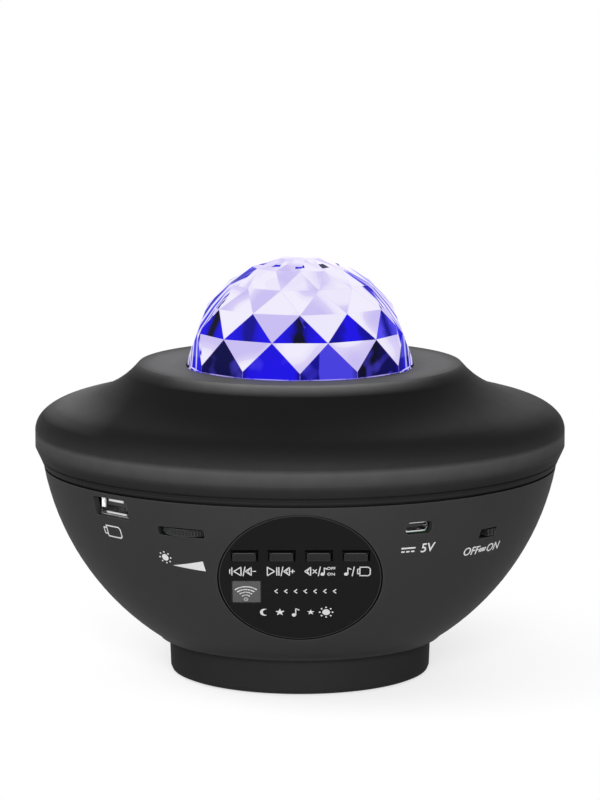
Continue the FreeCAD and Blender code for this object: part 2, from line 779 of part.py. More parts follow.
def base_foot():
    profile_points = [(0, foot_bottom_z), (foot_bottom_radius - foot_edge_round, foot_bottom_z),
                      (foot_bottom_radius - foot_edge_round * 0.3, foot_bottom_z + foot_edge_round * 0.3),
                      (foot_bottom_radius, foot_bottom_z + foot_edge_round), (foot_radius, foot_top_z),
                      (foot_radius - wall, foot_top_z), (foot_bottom_radius - wall, foot_plate_z),
                      (0, foot_plate_z)]
    foot = revolve(profile(profile_points))
    parts = [foot, tube(speaker_radius, speaker_radius - speaker_seat_width, foot_plate_z, foot_plate_z + speaker_seat)]
    for p in quarter_places(base_screw_circle, 0, 0):
        parts.append(cylinder(boss_radius + 0.6, foot_plate_z, bowl_base_z - boss_clearance, p))
    for p in quarter_places(speaker_lug_circle, speaker_lug_angle, 0):
        parts.append(cylinder(speaker_lug_radius, foot_bottom_z + 0.5, foot_plate_z + speaker_seat, p))
    foot = join(parts)
    for p in quarter_places(base_screw_circle, 0, 0):
        foot = foot.cut(cylinder(screw_head_radius + 0.3, foot_bottom_z - 1, base_seat_z, p))
        foot = foot.cut(cylinder(screw_radius + 0.2, foot_bottom_z - 1, bowl_base_z, p))
    for p in quarter_places(speaker_lug_circle, speaker_lug_angle, 0):
        foot = foot.cut(cylinder(small_screw_radius + screw_clearance, foot_bottom_z + 0.6, foot_top_z, p))
    for p in quarter_places(pad_circle, pad_angle, 0):
        foot = foot.cut(cylinder(pad_radius + 0.1, foot_bottom_z - 1, foot_bottom_z + pad_recess, p))
    slots = []
    for ring in range(grille_rings):
        radius = grille_first + grille_pitch * ring
        half = 180.0 / grille_arcs - math.degrees(grille_bridge / 2 / radius)
        slot = arc_slot(radius, grille_slot, half, foot_bottom_z - 1, foot_plate_z + 1)
        slots += around(slot, grille_arcs, 360.0 / grille_arcs / 2 * (ring % 2))
    return foot.cut(Part.makeCompound(slots)).removeSplitter()


def rubber_feet():
    pads = []
    for p in quarter_places(pad_circle, pad_angle, 0):
        pad = cylinder(pad_radius, 0, foot_bottom_z + pad_recess - 0.05, p)
        lower = [e for e in pad.Edges if e.BoundBox.ZMax < 0.01]
        pads.append(pad.makeChamfer(0.3, lower))
    return Part.makeCompound(pads)


def control_panel():
    disc = cylinder(panel_radius, panel_back, -panel_sink)
    rim = [e for e in disc.Edges if e.BoundBox.ZMin > -panel_sink - 0.01]
    disc = disc.makeChamfer(0.2, rim)
    post_end = key_board_top + boss_clearance
    posts = []
    for angle in key_post_angles:
        a = math.radians(angle)
        posts.append(V(key_post_circle * math.cos(a), key_post_circle * math.sin(a), 0))
    panel = join([disc] + [cylinder(key_post_radius, post_end, panel_back, p) for p in posts])
    for p in key_places:
        hole = rounded_plate(key_width + 2 * key_gap, key_height + 2 * key_gap, key_round + key_gap,
                             panel_back - 1, 1, p)
        panel = panel.cut(hole)
    hole = rounded_plate(window_size + 2 * window_gap, window_size + 2 * window_gap, 0.4, panel_back - 1, 1,
                         V(window_x, window_y, 0))
    panel = panel.cut(hole)
    for p in posts:
        high = post_end + key_screw_bite + bite_spare / 2
        panel = panel.cut(cylinder(small_screw_radius + screw_clearance, post_end - 1, high, p))
    return moved(panel, panel_frame)


def key_post_places(z):
    places = []
    for angle in key_post_angles:
        a = math.radians(angle)
        places.append(V(key_post_circle * math.cos(a), key_post_circle * math.sin(a), z))
    return places


def ir_window():
    pane = rounded_plate(window_size, window_size, 0.3, -panel_sink - window_thickness, -panel_sink - 0.05,
                         V(window_x, window_y, 0))
    return moved(pane, panel_frame)


def key_cap(place):
    cap = rounded_plate(key_width, key_height, key_round, key_back, key_proud - panel_sink, place)
    top = [e for e in cap.Edges if e.BoundBox.ZMin > key_proud - panel_sink - 0.01]
    cap = cap.makeFillet(0.25, top)
    flange = block(key_width, key_height + 2 * key_flange, key_back, key_back + key_flange_thickness, place)
    stem = block(key_stem_width, key_stem_width, stem_end, key_back, place)
    return moved(join([cap, flange, stem]), panel_frame)


def tact_switch(place):
    body = block(tact_size, tact_size, tact_top - tact_height, tact_top, place)
    body = body.makeChamfer(0.4, [e for e in body.Edges if abs(e.Vertexes[0].Z - e.Vertexes[-1].Z) > 1e-6])
    guide = cylinder(plunger_radius + plunger_gap, tact_top - plunger_guide - 3 * key_travel, tact_top + 1, place)
    return moved(body.cut(guide), panel_frame)


def tact_plunger(place):
    plunger = cylinder(plunger_radius, tact_top - plunger_guide, tact_top + plunger_proud, place)
    return moved(plunger, panel_frame)


def key_board():
    board = cylinder(key_board_radius, key_board_top - key_board_thickness, key_board_top)
    for p in key_post_places(0):
        board = board.cut(cylinder(small_screw_radius + 0.2, -99, 0, p))
    return moved(board, panel_frame)


def ir_receiver():
    place = V(window_x + 1.0, window_y, 0)
    low = key_board_top + board_gap
    body = block(receiver_width, receiver_depth, low, low + receiver_height, place)
    lens = Part.makeSphere(receiver_width * 0.3, V(place.x, place.y, low + receiver_height - 0.4))
    return moved(body.fuse(lens).removeSplitter(), panel_frame)


def main_board():
    disc = tube(board_outer_radius, board_inner_radius, board_bottom_z, board_top_z)
    reach = 2 * board_outer_radius
    left = polar(reach, -board_span)
    right = polar(reach, board_span)
    low = board_bottom_z
    sector = polygon([V(0, 0, low), V(left.x, left.y, low), V(right.x, right.y, low)])
    board = disc.common(sector.extrude(V(0, 0, board_thickness)))
    sine, cosine = math.sin(math.radians(panel_tilt)), math.cos(math.radians(panel_tilt))
    ring_rise = (board_bottom_z - panel_centre.z - panel_ring_depth * sine) / cosine
    half = math.sqrt(panel_ring_radius ** 2 - ring_rise ** 2) + board_notch_gap
    key_unit_depth = key_board_thickness + small_head_height - key_board_top
    edge = panel_centre.y + key_unit_depth * cosine + board_notch_gap
    board = board.cut(Part.makeBox(2 * half, reach, board_thickness + 2, V(-half, edge - reach, low - 1)))
    board = board.cut(cylinder(dimmer_radius + dimmer_side_gap, low - 1, board_top_z + 1, dimmer_centre))
    for r, a in board_post_places:
        board = board.cut(cylinder(small_screw_radius + 0.2, low - 1, board_top_z + 1, polar(r, a)))
    chip_place = V(0, -board_inner_radius - chip_inset, 0)
    chip_top = board_top_z + chip_height
    chips = [turned(block(chip_size, chip_size, board_top_z, chip_top, chip_place), 12),
             turned(block(chip_size * 0.7, chip_size * 0.6, board_top_z, chip_top, chip_place), -14)]
    for angle in (24, 52):
        place = polar(board_inner_radius + chip_inset, angle)
        chips.append(cylinder(capacitor_radius, board_top_z, board_top_z + capacitor_height, place))
    return join([board] + chips)


def usb_a_shell():
    low, high = -usb_height / 2, usb_height / 2
    can = block(usb_width, usb_length, low, high, V(0, -usb_mouth_radius + usb_length / 2, 0))
    inside = block(usb_width - 2 * usb_wall, usb_length - usb_wall, low + usb_wall, high - usb_wall,
                   V(0, -usb_mouth_radius + (usb_length - usb_wall) / 2, 0))
    legs = []
    for x in (-1, 1):
        for y in (1.5 * usb_leg, usb_length - usb_leg):
            at = V(x * (usb_width - usb_wall) / 2, y - usb_mouth_radius, 0)
            legs.append(block(usb_wall, usb_leg, low - usb_lift, 0, at))
    can = join([can.cut(inside)] + legs)
    can.translate(V(0, 0, usb_z))
    return turned(can, usb_angle)


def usb_a_tongue():
    depth = usb_length - usb_wall - boss_clearance
    back_y = -usb_mouth_radius + depth
    room = usb_height / 2 - usb_wall - boss_clearance
    back = block(usb_width - 2 * usb_wall - 2 * boss_clearance, usb_back, -room, room, V(0, back_y - usb_back / 2, 0))
    length = depth - usb_tongue_recess
    top = room - usb_tongue_drop
    tongue = block(usb_tongue_width, length, top - usb_tongue_thickness, top, V(0, back_y - length / 2, 0))
    insert = join([back, tongue])
    insert.translate(V(0, 0, usb_z))
    return turned(insert, usb_angle)


def micro_section(width, height, chamfer):
    """Face of a micro socket, square above and cut off at both lower corners."""
    half = width / 2
    points = [(-half, height / 2), (half, height / 2), (half, -height / 2 + chamfer),
              (half - chamfer, -height / 2), (-half + chamfer, -height / 2), (-half, -height / 2 + chamfer)]
    return polygon([V(x, -micro_mouth_radius, z) for x, z in points])


def micro_usb_shell():
    can = micro_section(micro_width, micro_height, 0.9).extrude(V(0, micro_length, 0))
    hollow = micro_section(micro_width - 2 * micro_wall, micro_height - 2 * micro_wall, 0.7)
    can = can.cut(hollow.extrude(V(0, micro_length - micro_wall, 0)))
    can.translate(V(0, 0, micro_z))
    return turned(can, micro_angle)


def micro_usb_tongue():
    depth = micro_length - micro_wall - boss_clearance
    inset = 2 * (micro_wall + boss_clearance)
    back = micro_section(micro_width - inset, micro_height - inset, 0.72).extrude(V(0, micro_back, 0))
    back.translate(V(0, depth - micro_back, 0))
    back_y = -micro_mouth_radius + depth
    tongue = block(micro_tongue_width, depth - 0.6, 0.05, 0.05 + micro_tongue_thickness,
                   V(0, back_y - (depth - 0.6) / 2, 0))
    insert = join([back, tongue])
    insert.translate(V(0, 0, micro_z))
    return turned(insert, micro_angle)


def dimmer_wheel():
    low = dimmer_z - dimmer_thickness / 2
    high = dimmer_z + dimmer_thickness / 2
    wheel = cylinder(dimmer_radius, low, high)
    wheel = wheel.makeChamfer(0.3, [e for e in wheel.Edges if e.BoundBox.ZLength < 0.01])
    cutter = cylinder(dimmer_rib_depth, low - 1, high + 1, V(0, -dimmer_radius, 0))
    wheel = wheel.cut(Part.makeCompound(around(cutter, dimmer_ribs)))
    dish = tube(dimmer_radius - 2.0, dimmer_spindle + 1.6, high - 0.5, high + 1)
    wheel = wheel.cut(dish)
    wheel = wheel.cut(cylinder(dimmer_spindle + dimmer_running, low - 1, high + 1))
    wheel.translate(dimmer_centre)
    return wheel


def dimmer_pot():
    wheel_low = dimmer_z - dimmer_thickness / 2
    high = wheel_low - pot_gap
    low = high - pot_thickness
    body = cylinder(pot_radius, low, high)
    tail = block(pot_tail_width, pot_tail, low, high, V(0, pot_tail / 2, 0))
    spindle = cylinder(dimmer_spindle, low, dimmer_z + dimmer_thickness / 2 + pot_gap)
    collar = cylinder(dimmer_spindle + 1.0, high, wheel_low - 0.05)
    pins = []
    for i in (-1, 0, 1):
        at = V(i * 2.5, pot_tail - 1.4, 0)
        pins.append(block(pot_pin, pot_pin, low, board_bottom_z - boss_clearance, at))
    pot = join([body, tail, spindle, collar] + pins)
    pot = turned(pot, dimmer_angle)
    pot.translate(dimmer_centre)
    return pot


def power_switch_body():
    low = -switch_height / 2
    centre_y = -switch_front_radius + switch_depth / 2
    body = block(switch_width, switch_depth, low, -low, V(0, centre_y, 0))
    slot_width = switch_knob_width + switch_travel + 2 * switch_running
    slot = block(slot_width, switch_depth - switch_wall, -switch_knob_height / 2 - switch_running,
                 switch_knob_height / 2 + switch_running, V(0, centre_y - switch_wall / 2, 0))
    body = body.cut(slot)
    body.translate(V(0, 0, switch_z))
    return turned(body, switch_angle)


def power_switch_knob():
    outer = sphere_radius_at(bowl_radius, switch_z) + switch_knob_proud
    inner = switch_front_radius - switch_depth + switch_wall + switch_knob_gap
    centre = V(switch_travel / 2, -(outer + inner) / 2, 0)
    half = switch_knob_height / 2
    knob = block(switch_knob_width, outer - inner, -half, half, centre)
    ridges = [block(0.5, 1.0, -half - 1, half + 1, V(switch_travel / 2 + i, -outer, 0)) for i in (-0.9, 0.9)]
    knob = knob.cut(Part.makeCompound(ridges))
    knob.translate(V(0, 0, switch_z))
    return turned(knob, switch_angle)


lamp_axis = V(lamp_x, 0, 0)
laser_axis = V(lamp_x + gear_module * (ripple_teeth + grating_teeth) / 2, 0, 0)
motor_distance = gear_module * (ripple_teeth + pinion_teeth) / 2
motor_axis = V(lamp_x + motor_distance * math.cos(math.radians(pinion_direction)),
               motor_distance * math.sin(math.radians(pinion_direction)), 0)
gear_top_z = gear_bottom_z + gear_width
chassis_bottom_z = chassis_top_z - chassis_thickness


def lamp_chassis():
    plate = cylinder(chassis_radius, chassis_bottom_z, chassis_top_z)
    vent = arc_slot(chassis_screw_circle - chassis_vent_inset, chassis_vent_width, chassis_vent_half,
                    chassis_bottom_z - 1, chassis_top_z + 1)
    plate = plate.cut(Part.makeCompound(around(vent, 4, tower_angle)))
    lamp_tube = cylinder(lamp_tube_radius, chassis_bottom_z, lamp_tube_top_z, lamp_axis)
    collar_high = gear_bottom_z - axial_gap
    collar = cylinder(lamp_tube_radius + collar_width, collar_high - collar_thickness, collar_high, lamp_axis)
    post = cylinder(laser_post_radius, chassis_bottom_z, gear_top_z, laser_axis)
    post_collar = cylinder(laser_post_radius + 1.4, collar_high - collar_thickness, collar_high, laser_axis)
    bosses = [cylinder(tower_radius, tower_top_z + boss_clearance, chassis_bottom_z, p)
              for p in quarter_places(tower_circle, tower_angle, 0)]
    chassis = join([plate, lamp_tube, collar, post, post_collar] + bosses)
    chassis = chassis.cut(cylinder(lamp_tube_inner, chassis_top_z, lamp_tube_top_z + 1, lamp_axis))
    chassis = chassis.cut(cylinder(sink_hole_radius, chassis_bottom_z - 1, chassis_top_z + 1, lamp_axis))
    bore = cylinder(laser_radius + laser_fit, chassis_bottom_z - 1, gear_top_z + 1, laser_axis)
    chassis = chassis.cut(bore)
    for p in quarter_places(tower_circle, tower_angle, 0):
        hole = cylinder(screw_radius + screw_clearance, tower_top_z - 1, chassis_top_z - 0.8, p)
        chassis = chassis.cut(hole)
    for p in quarter_places(chassis_screw_circle, 0, 0):
        chassis = chassis.cut(cylinder(screw_radius + 0.2, chassis_bottom_z - 1, chassis_top_z + 1, p))
    for p in motor_ear_places(0):
        hole = cylinder(small_screw_radius + screw_clearance, chassis_bottom_z - 1, chassis_top_z + 1, p)
        chassis = chassis.cut(hole)
    return chassis.removeSplitter()


def motor_ear_places(z):
    places = []
    for angle in (pinion_direction - 90, pinion_direction + 90):
        a = math.radians(angle)
        places.append(V(motor_axis.x + motor_ear_circle * math.cos(a),
                        motor_axis.y + motor_ear_circle * math.sin(a), z))
    return places


def heat_sink():
    low = chassis_top_z + boss_clearance
    plate = cylinder(sink_radius, low, low + sink_thickness)
    fins = []
    pitch = 2 * sink_fin_radius / sink_fins
    for i in range(sink_fins):
        x = (i - (sink_fins - 1) / 2) * pitch
        fins.append(block(sink_fin_thickness, 2 * sink_fin_radius, low - sink_fin_height, low, V(x, 0, 0)))
    round_off = cylinder(sink_fin_radius, low - sink_fin_height, low)
    sink = join([plate] + [fin.common(round_off) for fin in fins])
    for p in led_screw_places(0):
        sink = sink.cut(cylinder(small_screw_radius + screw_clearance, low - 20, low + 20, p))
    sink.translate(lamp_axis)
    return sink


led_board_low = chassis_top_z + boss_clearance + sink_thickness
led_board_high = led_board_low + led_board_thickness


def led_screw_places(z):
    return [V(0, led_screw_circle, z), V(0, -led_screw_circle, z)]


def led_board():
    board = cylinder(led_board_radius, led_board_low, led_board_high)
    for p in led_screw_places(0):
        board = board.cut(cylinder(small_screw_radius + 0.2, led_board_low - 1, led_board_high + 1, p))
    board.translate(lamp_axis)
    return board


def led_emitters():
    chips = []
    half = led_pitch / 2
    for x, y in ((half, half), (-half, half), (-half, -half), (half, -half)):
        base = block(led_size, led_size, led_board_high, led_board_high + led_height * 0.6, V(x, y, 0))
        bead = Part.makeSphere(led_size * 0.38, V(x, y, led_board_high + led_height * 0.5))
        bead = bead.common(block(led_size, led_size, led_board_high, led_board_high + 9, V(x, y, 0)))
        chip = base.fuse(bead).removeSplitter()
        chip.translate(lamp_axis)
        chips.append(chip)
    return Part.makeCompound(chips)


holder_top_z = led_board_high + holder_height


def lens_holder():
    holder = tube(holder_radius, holder_bore, led_board_high + boss_clearance, holder_top_z)
    holder = holder.cut(cylinder(lens_radius + boss_clearance, holder_top_z - lens_edge, holder_top_z + 1))
    holder.translate(lamp_axis)
    return holder


def condenser_lens():
    """Plano-convex lens: a flat edge band under a spherical crown."""
    low = holder_top_z - lens_edge + boss_clearance
    high = low + lens_edge
    edges = chain([(0, low), (lens_radius, low), (lens_radius, high)])
    reach = (lens_radius ** 2 + lens_crown ** 2) / (2 * lens_crown)
    middle = lens_radius * 0.5
    height = high + lens_crown - reach + math.sqrt(reach ** 2 - middle ** 2)
    edges.append(Part.Arc(V(lens_radius, 0, high), V(middle, 0, height), V(0, 0, high + lens_crown)).toShape())
    edges.append(line((0, high + lens_crown), (0, low)))
    lens = revolve(edges)
    lens.translate(lamp_axis)
    return lens


def involute(angle):
    return math.tan(angle) - angle


def gear(teeth, phase, z_low, z_high):
    """Spur gear with involute flanks; phase is the direction of one tooth in degrees."""
    pressure = math.radians(20)
    pitch = gear_module * teeth / 2
    tip = pitch + gear_tip * gear_module
    root = pitch - gear_root * gear_module
    base = pitch * math.cos(pressure)
    half_pitch = math.pi / (2 * teeth) - gear_backlash / (2 * pitch)
    start = max(base, root + 0.1)
    radii = [start, (start + tip) / 2, tip]
    halves = [half_pitch + involute(pressure) - involute(math.acos(min(1, base / r))) for r in radii]
    flank = [(root, halves[0])] + list(zip(radii, halves))
    points = []
    for i in range(teeth):
        centre = math.radians(phase) + 2 * math.pi * i / teeth
        for r, half in flank:
            points.append(V(r * math.cos(centre - half), r * math.sin(centre - half), z_low))
        for r, half in reversed(flank):
            points.append(V(r * math.cos(centre + half), r * math.sin(centre + half), z_low))
    return polygon(points).extrude(V(0, 0, z_high - z_low))


def mesh_phase(teeth_a, teeth_b, direction):
    """Phase that puts gear b in mesh with gear a, whose first tooth points along +X."""
    step = 360.0 / teeth_a
    offset = round(direction / step) * step - direction
    gap = direction + 180 - offset * teeth_a / teeth_b
    return gap + 180.0 / teeth_b


def ripple_gear():
    wheel = gear(ripple_teeth, 0, gear_bottom_z, gear_top_z)
    hub = cylinder(lamp_tube_radius + collar_width, gear_top_z, gear_bottom_z + ripple_hub_height)
    wheel = wheel.fuse(hub)
    wheel = wheel.cut(cylinder(lamp_tube_radius + running_gap, gear_bottom_z - 1, gear_bottom_z + 99))
    wheel = wheel.removeSplitter()
    wheel.translate(lamp_axis)
    return wheel


def ripple_lens():
    """Disc whose upper face is turned into rings of ripples."""
    low = gear_bottom_z + ripple_hub_height
    high = low + ripple_lens_thickness
    outer = lamp_tube_radius + collar_width
    pitch = outer / (ripple_count + 0.5)
    points = [(0, low), (outer, low), (outer, high - ripple_depth)]
    for i in range(ripple_count, 0, -1):
        points.append(((i + 0.25) * pitch, high))
        points.append(((i - 0.25) * pitch, high - ripple_depth))
    points.append((0, high))
    disc = revolve(profile(points))
    disc.translate(lamp_axis)
    return disc


def grating_gear():
    phase = mesh_phase(ripple_teeth, grating_teeth, 0.0)
    wheel = gear(grating_teeth, phase, gear_bottom_z, gear_top_z)
    wheel = wheel.cut(cylinder(laser_post_radius + running_gap, gear_bottom_z - 1, gear_top_z + 1))
    wheel.translate(laser_axis)
    return wheel


def star_grating():
    low = gear_top_z
    disc = cylinder(grating_hub_radius, low + axial_gap, low + axial_gap + grating_thickness)
    rim = tube(grating_hub_radius, laser_post_radius + grating_rim_gap, low, low + axial_gap)
    cap = disc.fuse(rim).removeSplitter()
    cap.translate(laser_axis)
    return cap


def laser_module():
    high = gear_top_z - 0.6
    body = cylinder(laser_radius, high - laser_length, high)
    aperture = cylinder(laser_radius * 0.55, high - 1.2, high + 1)
    cap = cylinder(laser_radius * 0.8, high - laser_length - laser_cap_length, high - laser_length)
    module = join([body.cut(aperture), cap])
    module.translate(laser_axis)
    return module


def gear_motor():
    low = chassis_top_z + boss_clearance
    can = cylinder(motor_radius, low, low + motor_height, motor_axis)
    ears = [cylinder(motor_ear_radius, low, low + motor_ear_thickness, p) for p in motor_ear_places(0)]
    body = join([can] + ears)
    bore = cylinder(motor_shaft_radius + motor_shaft_running, low + 2, low + motor_height + 1, motor_axis)
    body = body.cut(bore)
    for p in motor_ear_places(0):
        body = body.cut(cylinder(small_screw_radius + 0.1, low - 1, low + motor_ear_thickness + 1, p))
    return body


def motor_shaft():
    low = chassis_top_z + boss_clearance + 2.1
    return cylinder(motor_shaft_radius, low, gear_top_z + 0.4, motor_axis)


def drive_pinion():
    phase = mesh_phase(ripple_teeth, pinion_teeth, pinion_direction)
    wheel = gear(pinion_teeth, phase, gear_bottom_z, gear_top_z)
    wheel = wheel.cut(cylinder(motor_shaft_radius, gear_bottom_z - 1, gear_top_z + 1))
    wheel.translate(motor_axis)
    return wheel


speaker_z = foot_plate_z + speaker_seat + boss_clearance
flange_z = speaker_z + speaker_flange
basket_top_z = flange_z + basket_height
magnet_low = basket_top_z + basket_thickness


def speaker_frame():
    """Pressed basket: a flat flange with four lugs, a sloping wall with windows, a back plate."""
    inner = surround_outer + surround_seat
    outer = inner + basket_thickness
    mouth = cone_outer_radius + surround_gap + 2 * surround_roll + boss_clearance
    points = [(mouth, speaker_z), (speaker_radius, speaker_z), (speaker_radius, flange_z),
              (outer, flange_z), (basket_top_radius + basket_thickness, basket_top_z + basket_thickness),
              (magnet_bore, basket_top_z + basket_thickness), (magnet_bore, basket_top_z),
              (basket_top_radius, basket_top_z), (inner, flange_z), (mouth, flange_z)]
    frame = revolve(profile(points))
    lugs = [cylinder(speaker_lug_radius, speaker_z, flange_z, p)
            for p in quarter_places(speaker_lug_circle, speaker_lug_angle, 0)]
    lugs = [lug.cut(cylinder(speaker_radius - 1, speaker_z - 1, flange_z + 1)) for lug in lugs]
    frame = join([frame] + lugs)
    for p in quarter_places(speaker_lug_circle, speaker_lug_angle, 0):
        frame = frame.cut(cylinder(small_screw_radius + 0.2, speaker_z - 1, flange_z + 1, p))
    wide = speaker_radius - basket_top_radius - basket_thickness
    vent = arc_slot(speaker_radius - wide / 2, wide - 2 * basket_frame, basket_window_half,
                    flange_z + 2 * basket_frame, basket_top_z - 1.6 * basket_frame)
    return frame.cut(Part.makeCompound(around(vent, 4))).removeSplitter()


def speaker_magnet():
    ring = tube(magnet_radius, magnet_bore, magnet_low, magnet_low + magnet_height)
    flat = [e for e in ring.Edges if e.BoundBox.XMax > magnet_radius - 0.1 and e.BoundBox.ZLength < 0.01]
    return ring.makeChamfer(0.5, flat)


def speaker_yoke():
    low = magnet_low + magnet_height
    plate = cylinder(yoke_radius, low, low + yoke_height)
    pole = cylinder(pole_radius, basket_top_z, low)
    return join([plate, pole])


cone_edge_z = flange_z - 0.6


def speaker_cone():
    """Paper cone with its dust cap and the voice coil former behind it."""
    high = cone_edge_z + cone_height
    former = tube(coil_radius + coil_thickness, coil_radius, high - 1.0, magnet_low + 2.0)
    slope = [(coil_radius, high), (coil_radius, high - 2 * cone_thickness),
             (cone_outer_radius, cone_edge_z), (cone_outer_radius, cone_edge_z + cone_thickness),
             (coil_radius + coil_thickness, high)]
    fall = (cone_height - 2 * cone_thickness) / (cone_outer_radius - coil_radius)
    rise = high - 2 * cone_thickness - fall * (cap_radius - coil_radius) + cone_thickness / 2
    reach = (cap_radius ** 2 + cap_crown ** 2) / (2 * cap_crown)
    middle = V(0, 0, rise - cap_crown + reach)
    cap = Part.makeSphere(reach, middle).cut(Part.makeSphere(reach - cone_thickness, middle))
    cap = cap.common(cylinder(cap_radius, rise - 2 * cap_crown, rise))
    return join([revolve(profile(slope)), former, cap])


def speaker_surround():
    """Rubber edge: a glued flat rim and a half roll that lets the cone move."""
    inner = cone_outer_radius + surround_gap
    rim_inner = inner + 2 * surround_roll
    low = flange_z + 0.02
    middle = inner + surround_roll
    small = surround_roll - surround_thickness
    edges = [Part.Arc(V(inner, 0, low), V(middle, 0, low - surround_roll), V(rim_inner, 0, low)).toShape()]
    edges += chain([(rim_inner, low), (surround_outer, low), (surround_outer, low + surround_thickness),
                    (rim_inner - surround_thickness, low + surround_thickness),
                    (rim_inner - surround_thickness, low)])
    edges.append(Part.Arc(V(middle + small, 0, low), V(middle, 0, low - small), V(middle - small, 0, low)).toShape())
    edges.append(line((middle - small, low), (inner, low)))
    return revolve(edges)


def tower_screws():
    length = tower_seat + tower_screw_bite
    return screws_at(casing_screw(length), quarter_places(tower_circle, tower_angle, tower_seat_z), True)


def chassis_screws():
    places = quarter_places(chassis_screw_circle, 0, chassis_bottom_z)
    return screws_at(casing_screw(chassis_thickness + chassis_screw_bite), places, True)


def retainer_screws():
    places = quarter_places(retainer_screw_circle, tower_angle, retainer_bottom_z)
    return screws_at(small_screw(retainer_thickness + retainer_screw_bite), places, True)


def base_screws():
    places = quarter_places(base_screw_circle, 0, base_seat_z)
    return screws_at(casing_screw(bowl_base_z + base_screw_bite - base_seat_z), places, True)


def board_screws():
    places = [polar(r, a, board_top_z) for r, a in board_post_places]
    return screws_at(small_screw(board_thickness + board_screw_bite), places)


def speaker_screws():
    places = quarter_places(speaker_lug_circle, speaker_lug_angle, flange_z)
    return screws_at(small_screw(flange_z - foot_bottom_z - 0.8), places)


def led_board_screws():
    places = [p + lamp_axis for p in led_screw_places(led_board_high)]
    return screws_at(small_screw(led_board_thickness + retainer_screw_bite), places)


def motor_screws():
    low = chassis_top_z + boss_clearance + motor_ear_thickness
    return screws_at(small_screw(motor_ear_thickness + chassis_thickness), motor_ear_places(low))


def key_board_screws():
    low = key_board_top - key_board_thickness
    group = screws_at(small_screw(key_board_thickness + key_screw_bite), key_post_places(low), True)
    return moved(group, panel_frame)


def export(name, shape):
    shape.exportStep(os.path.join("parts", name + ".step"))


key_names = ("previous", "play", "mute", "mode")
os.makedirs("parts", exist_ok=True)

for maker in (bowl_shell, top_cover, base_foot, rubber_feet, dome_lens, dome_retainer,
              control_panel, ir_window, key_board, ir_receiver, main_board,
              usb_a_shell, usb_a_tongue, micro_usb_shell, micro_usb_tongue,
              dimmer_wheel, dimmer_pot, power_switch_body, power_switch_knob,
              lamp_chassis, heat_sink, led_board, led_emitters, lens_holder, condenser_lens,
              ripple_gear, ripple_lens, grating_gear, star_grating, laser_module,
              gear_motor, motor_shaft, drive_pinion,
              speaker_frame, speaker_magnet, speaker_yoke, speaker_cone, speaker_surround,
              tower_screws, chassis_screws, retainer_screws, base_screws, board_screws,
              speaker_screws, led_board_screws, motor_screws, key_board_screws):
    export(maker.__name__, maker())

for key_name, key_place in zip(key_names, key_places):
    export("button_" + key_name, key_cap(key_place))
    export("tact_switch_" + key_name, tact_switch(key_place))
    export("tact_plunger_" + key_name, tact_plunger(key_place))
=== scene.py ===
import json
import math
import bpy
import bmesh
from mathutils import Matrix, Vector
from mathutils.geometry import tessellate_polygon


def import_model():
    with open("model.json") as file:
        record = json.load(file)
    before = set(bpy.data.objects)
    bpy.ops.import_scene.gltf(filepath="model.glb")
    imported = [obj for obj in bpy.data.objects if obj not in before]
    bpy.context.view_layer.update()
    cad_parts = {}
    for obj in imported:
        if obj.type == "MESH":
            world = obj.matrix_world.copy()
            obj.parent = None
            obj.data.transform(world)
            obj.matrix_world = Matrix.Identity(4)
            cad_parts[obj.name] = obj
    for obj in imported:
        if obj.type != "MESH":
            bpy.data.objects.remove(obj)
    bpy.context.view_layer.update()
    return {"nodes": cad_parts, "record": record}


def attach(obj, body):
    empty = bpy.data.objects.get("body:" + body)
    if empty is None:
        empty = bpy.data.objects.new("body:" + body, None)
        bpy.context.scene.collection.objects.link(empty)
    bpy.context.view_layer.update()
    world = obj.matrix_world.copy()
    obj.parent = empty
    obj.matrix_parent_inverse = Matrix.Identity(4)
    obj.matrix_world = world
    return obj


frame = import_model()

MM = 0.001
PER_DECIMETRE = 10.0
nodes = frame["nodes"]

# Casing
BOWL_RADIUS = 81.2 * MM
BOWL_CENTRE = Vector((0, 0, 80.4 * MM))
PANEL_TILT = math.radians(29.7)
PANEL_FLAT_RADIUS = 25.2 * MM
PANEL_SINK = 0.1 * MM
PLATEAU_HEIGHT = 97.3 * MM
PLATEAU_ROUNDING = 3.2 * MM

# Cuts of the dome: facets in a row, rings of corners and their latitudes in degrees
DOME_SIDES = 12
DOME_RINGS = 6
DOME_FIRST_RING = 5.0
DOME_RING_STEP = 15.0

# Keys, in millimetres on the panel
KEY_PLACES = (-16.5, -5.5, 5.5, 16.5)
KEY_ROW = 8.4
KEY_WIDTH = 7.4
KEY_DEPTH = 3.5

# Painted shadow: dead-black strips round the keys where their gaps lie in shade; and a painted
# highlight line inside the panel's edge; in millimetres
GAP_SHADOW_ABOVE = 0.65
GAP_SHADOW_ABOVE_LEFT = 0.35
GAP_SHADOW_RIGHT = 0.5
GAP_SHADOW_LEFT = 0.2
GAP_SHADOW_BELOW = 0.1
PANEL_HIGHLIGHT_RADIUS = 23.95
PANEL_HIGHLIGHT_WIDTH = 0.2

# Mouth of the larger socket, its angle from the front towards +X, and the contact springs in it:
# name, place across and up from the middle of the mouth, width and height, in millimetres
USB_ANGLE = -46.1
USB_MOUTH_RADIUS = 76.4 * MM
USB_MOUTH_HEIGHT = 61.05 * MM
SOCKET_SPRINGS = (("spring_side", -5.75, 0.9, 1.1, 3.4), ("spring_top", -0.6, 1.75, 6.6, 0.9),
                  ("spring_low", -0.4, -2.1, 9.0, 0.55))
SPRING_BACK = -0.9
SPRING_FRONT = -0.6

# Printed ink: its outer face above the plastic, and its thickness, part of which is let in
PRINT_LIFT = 0.06 * MM
PRINT_THICKNESS = 0.05 * MM
LETTER_WEIGHT = 0.012

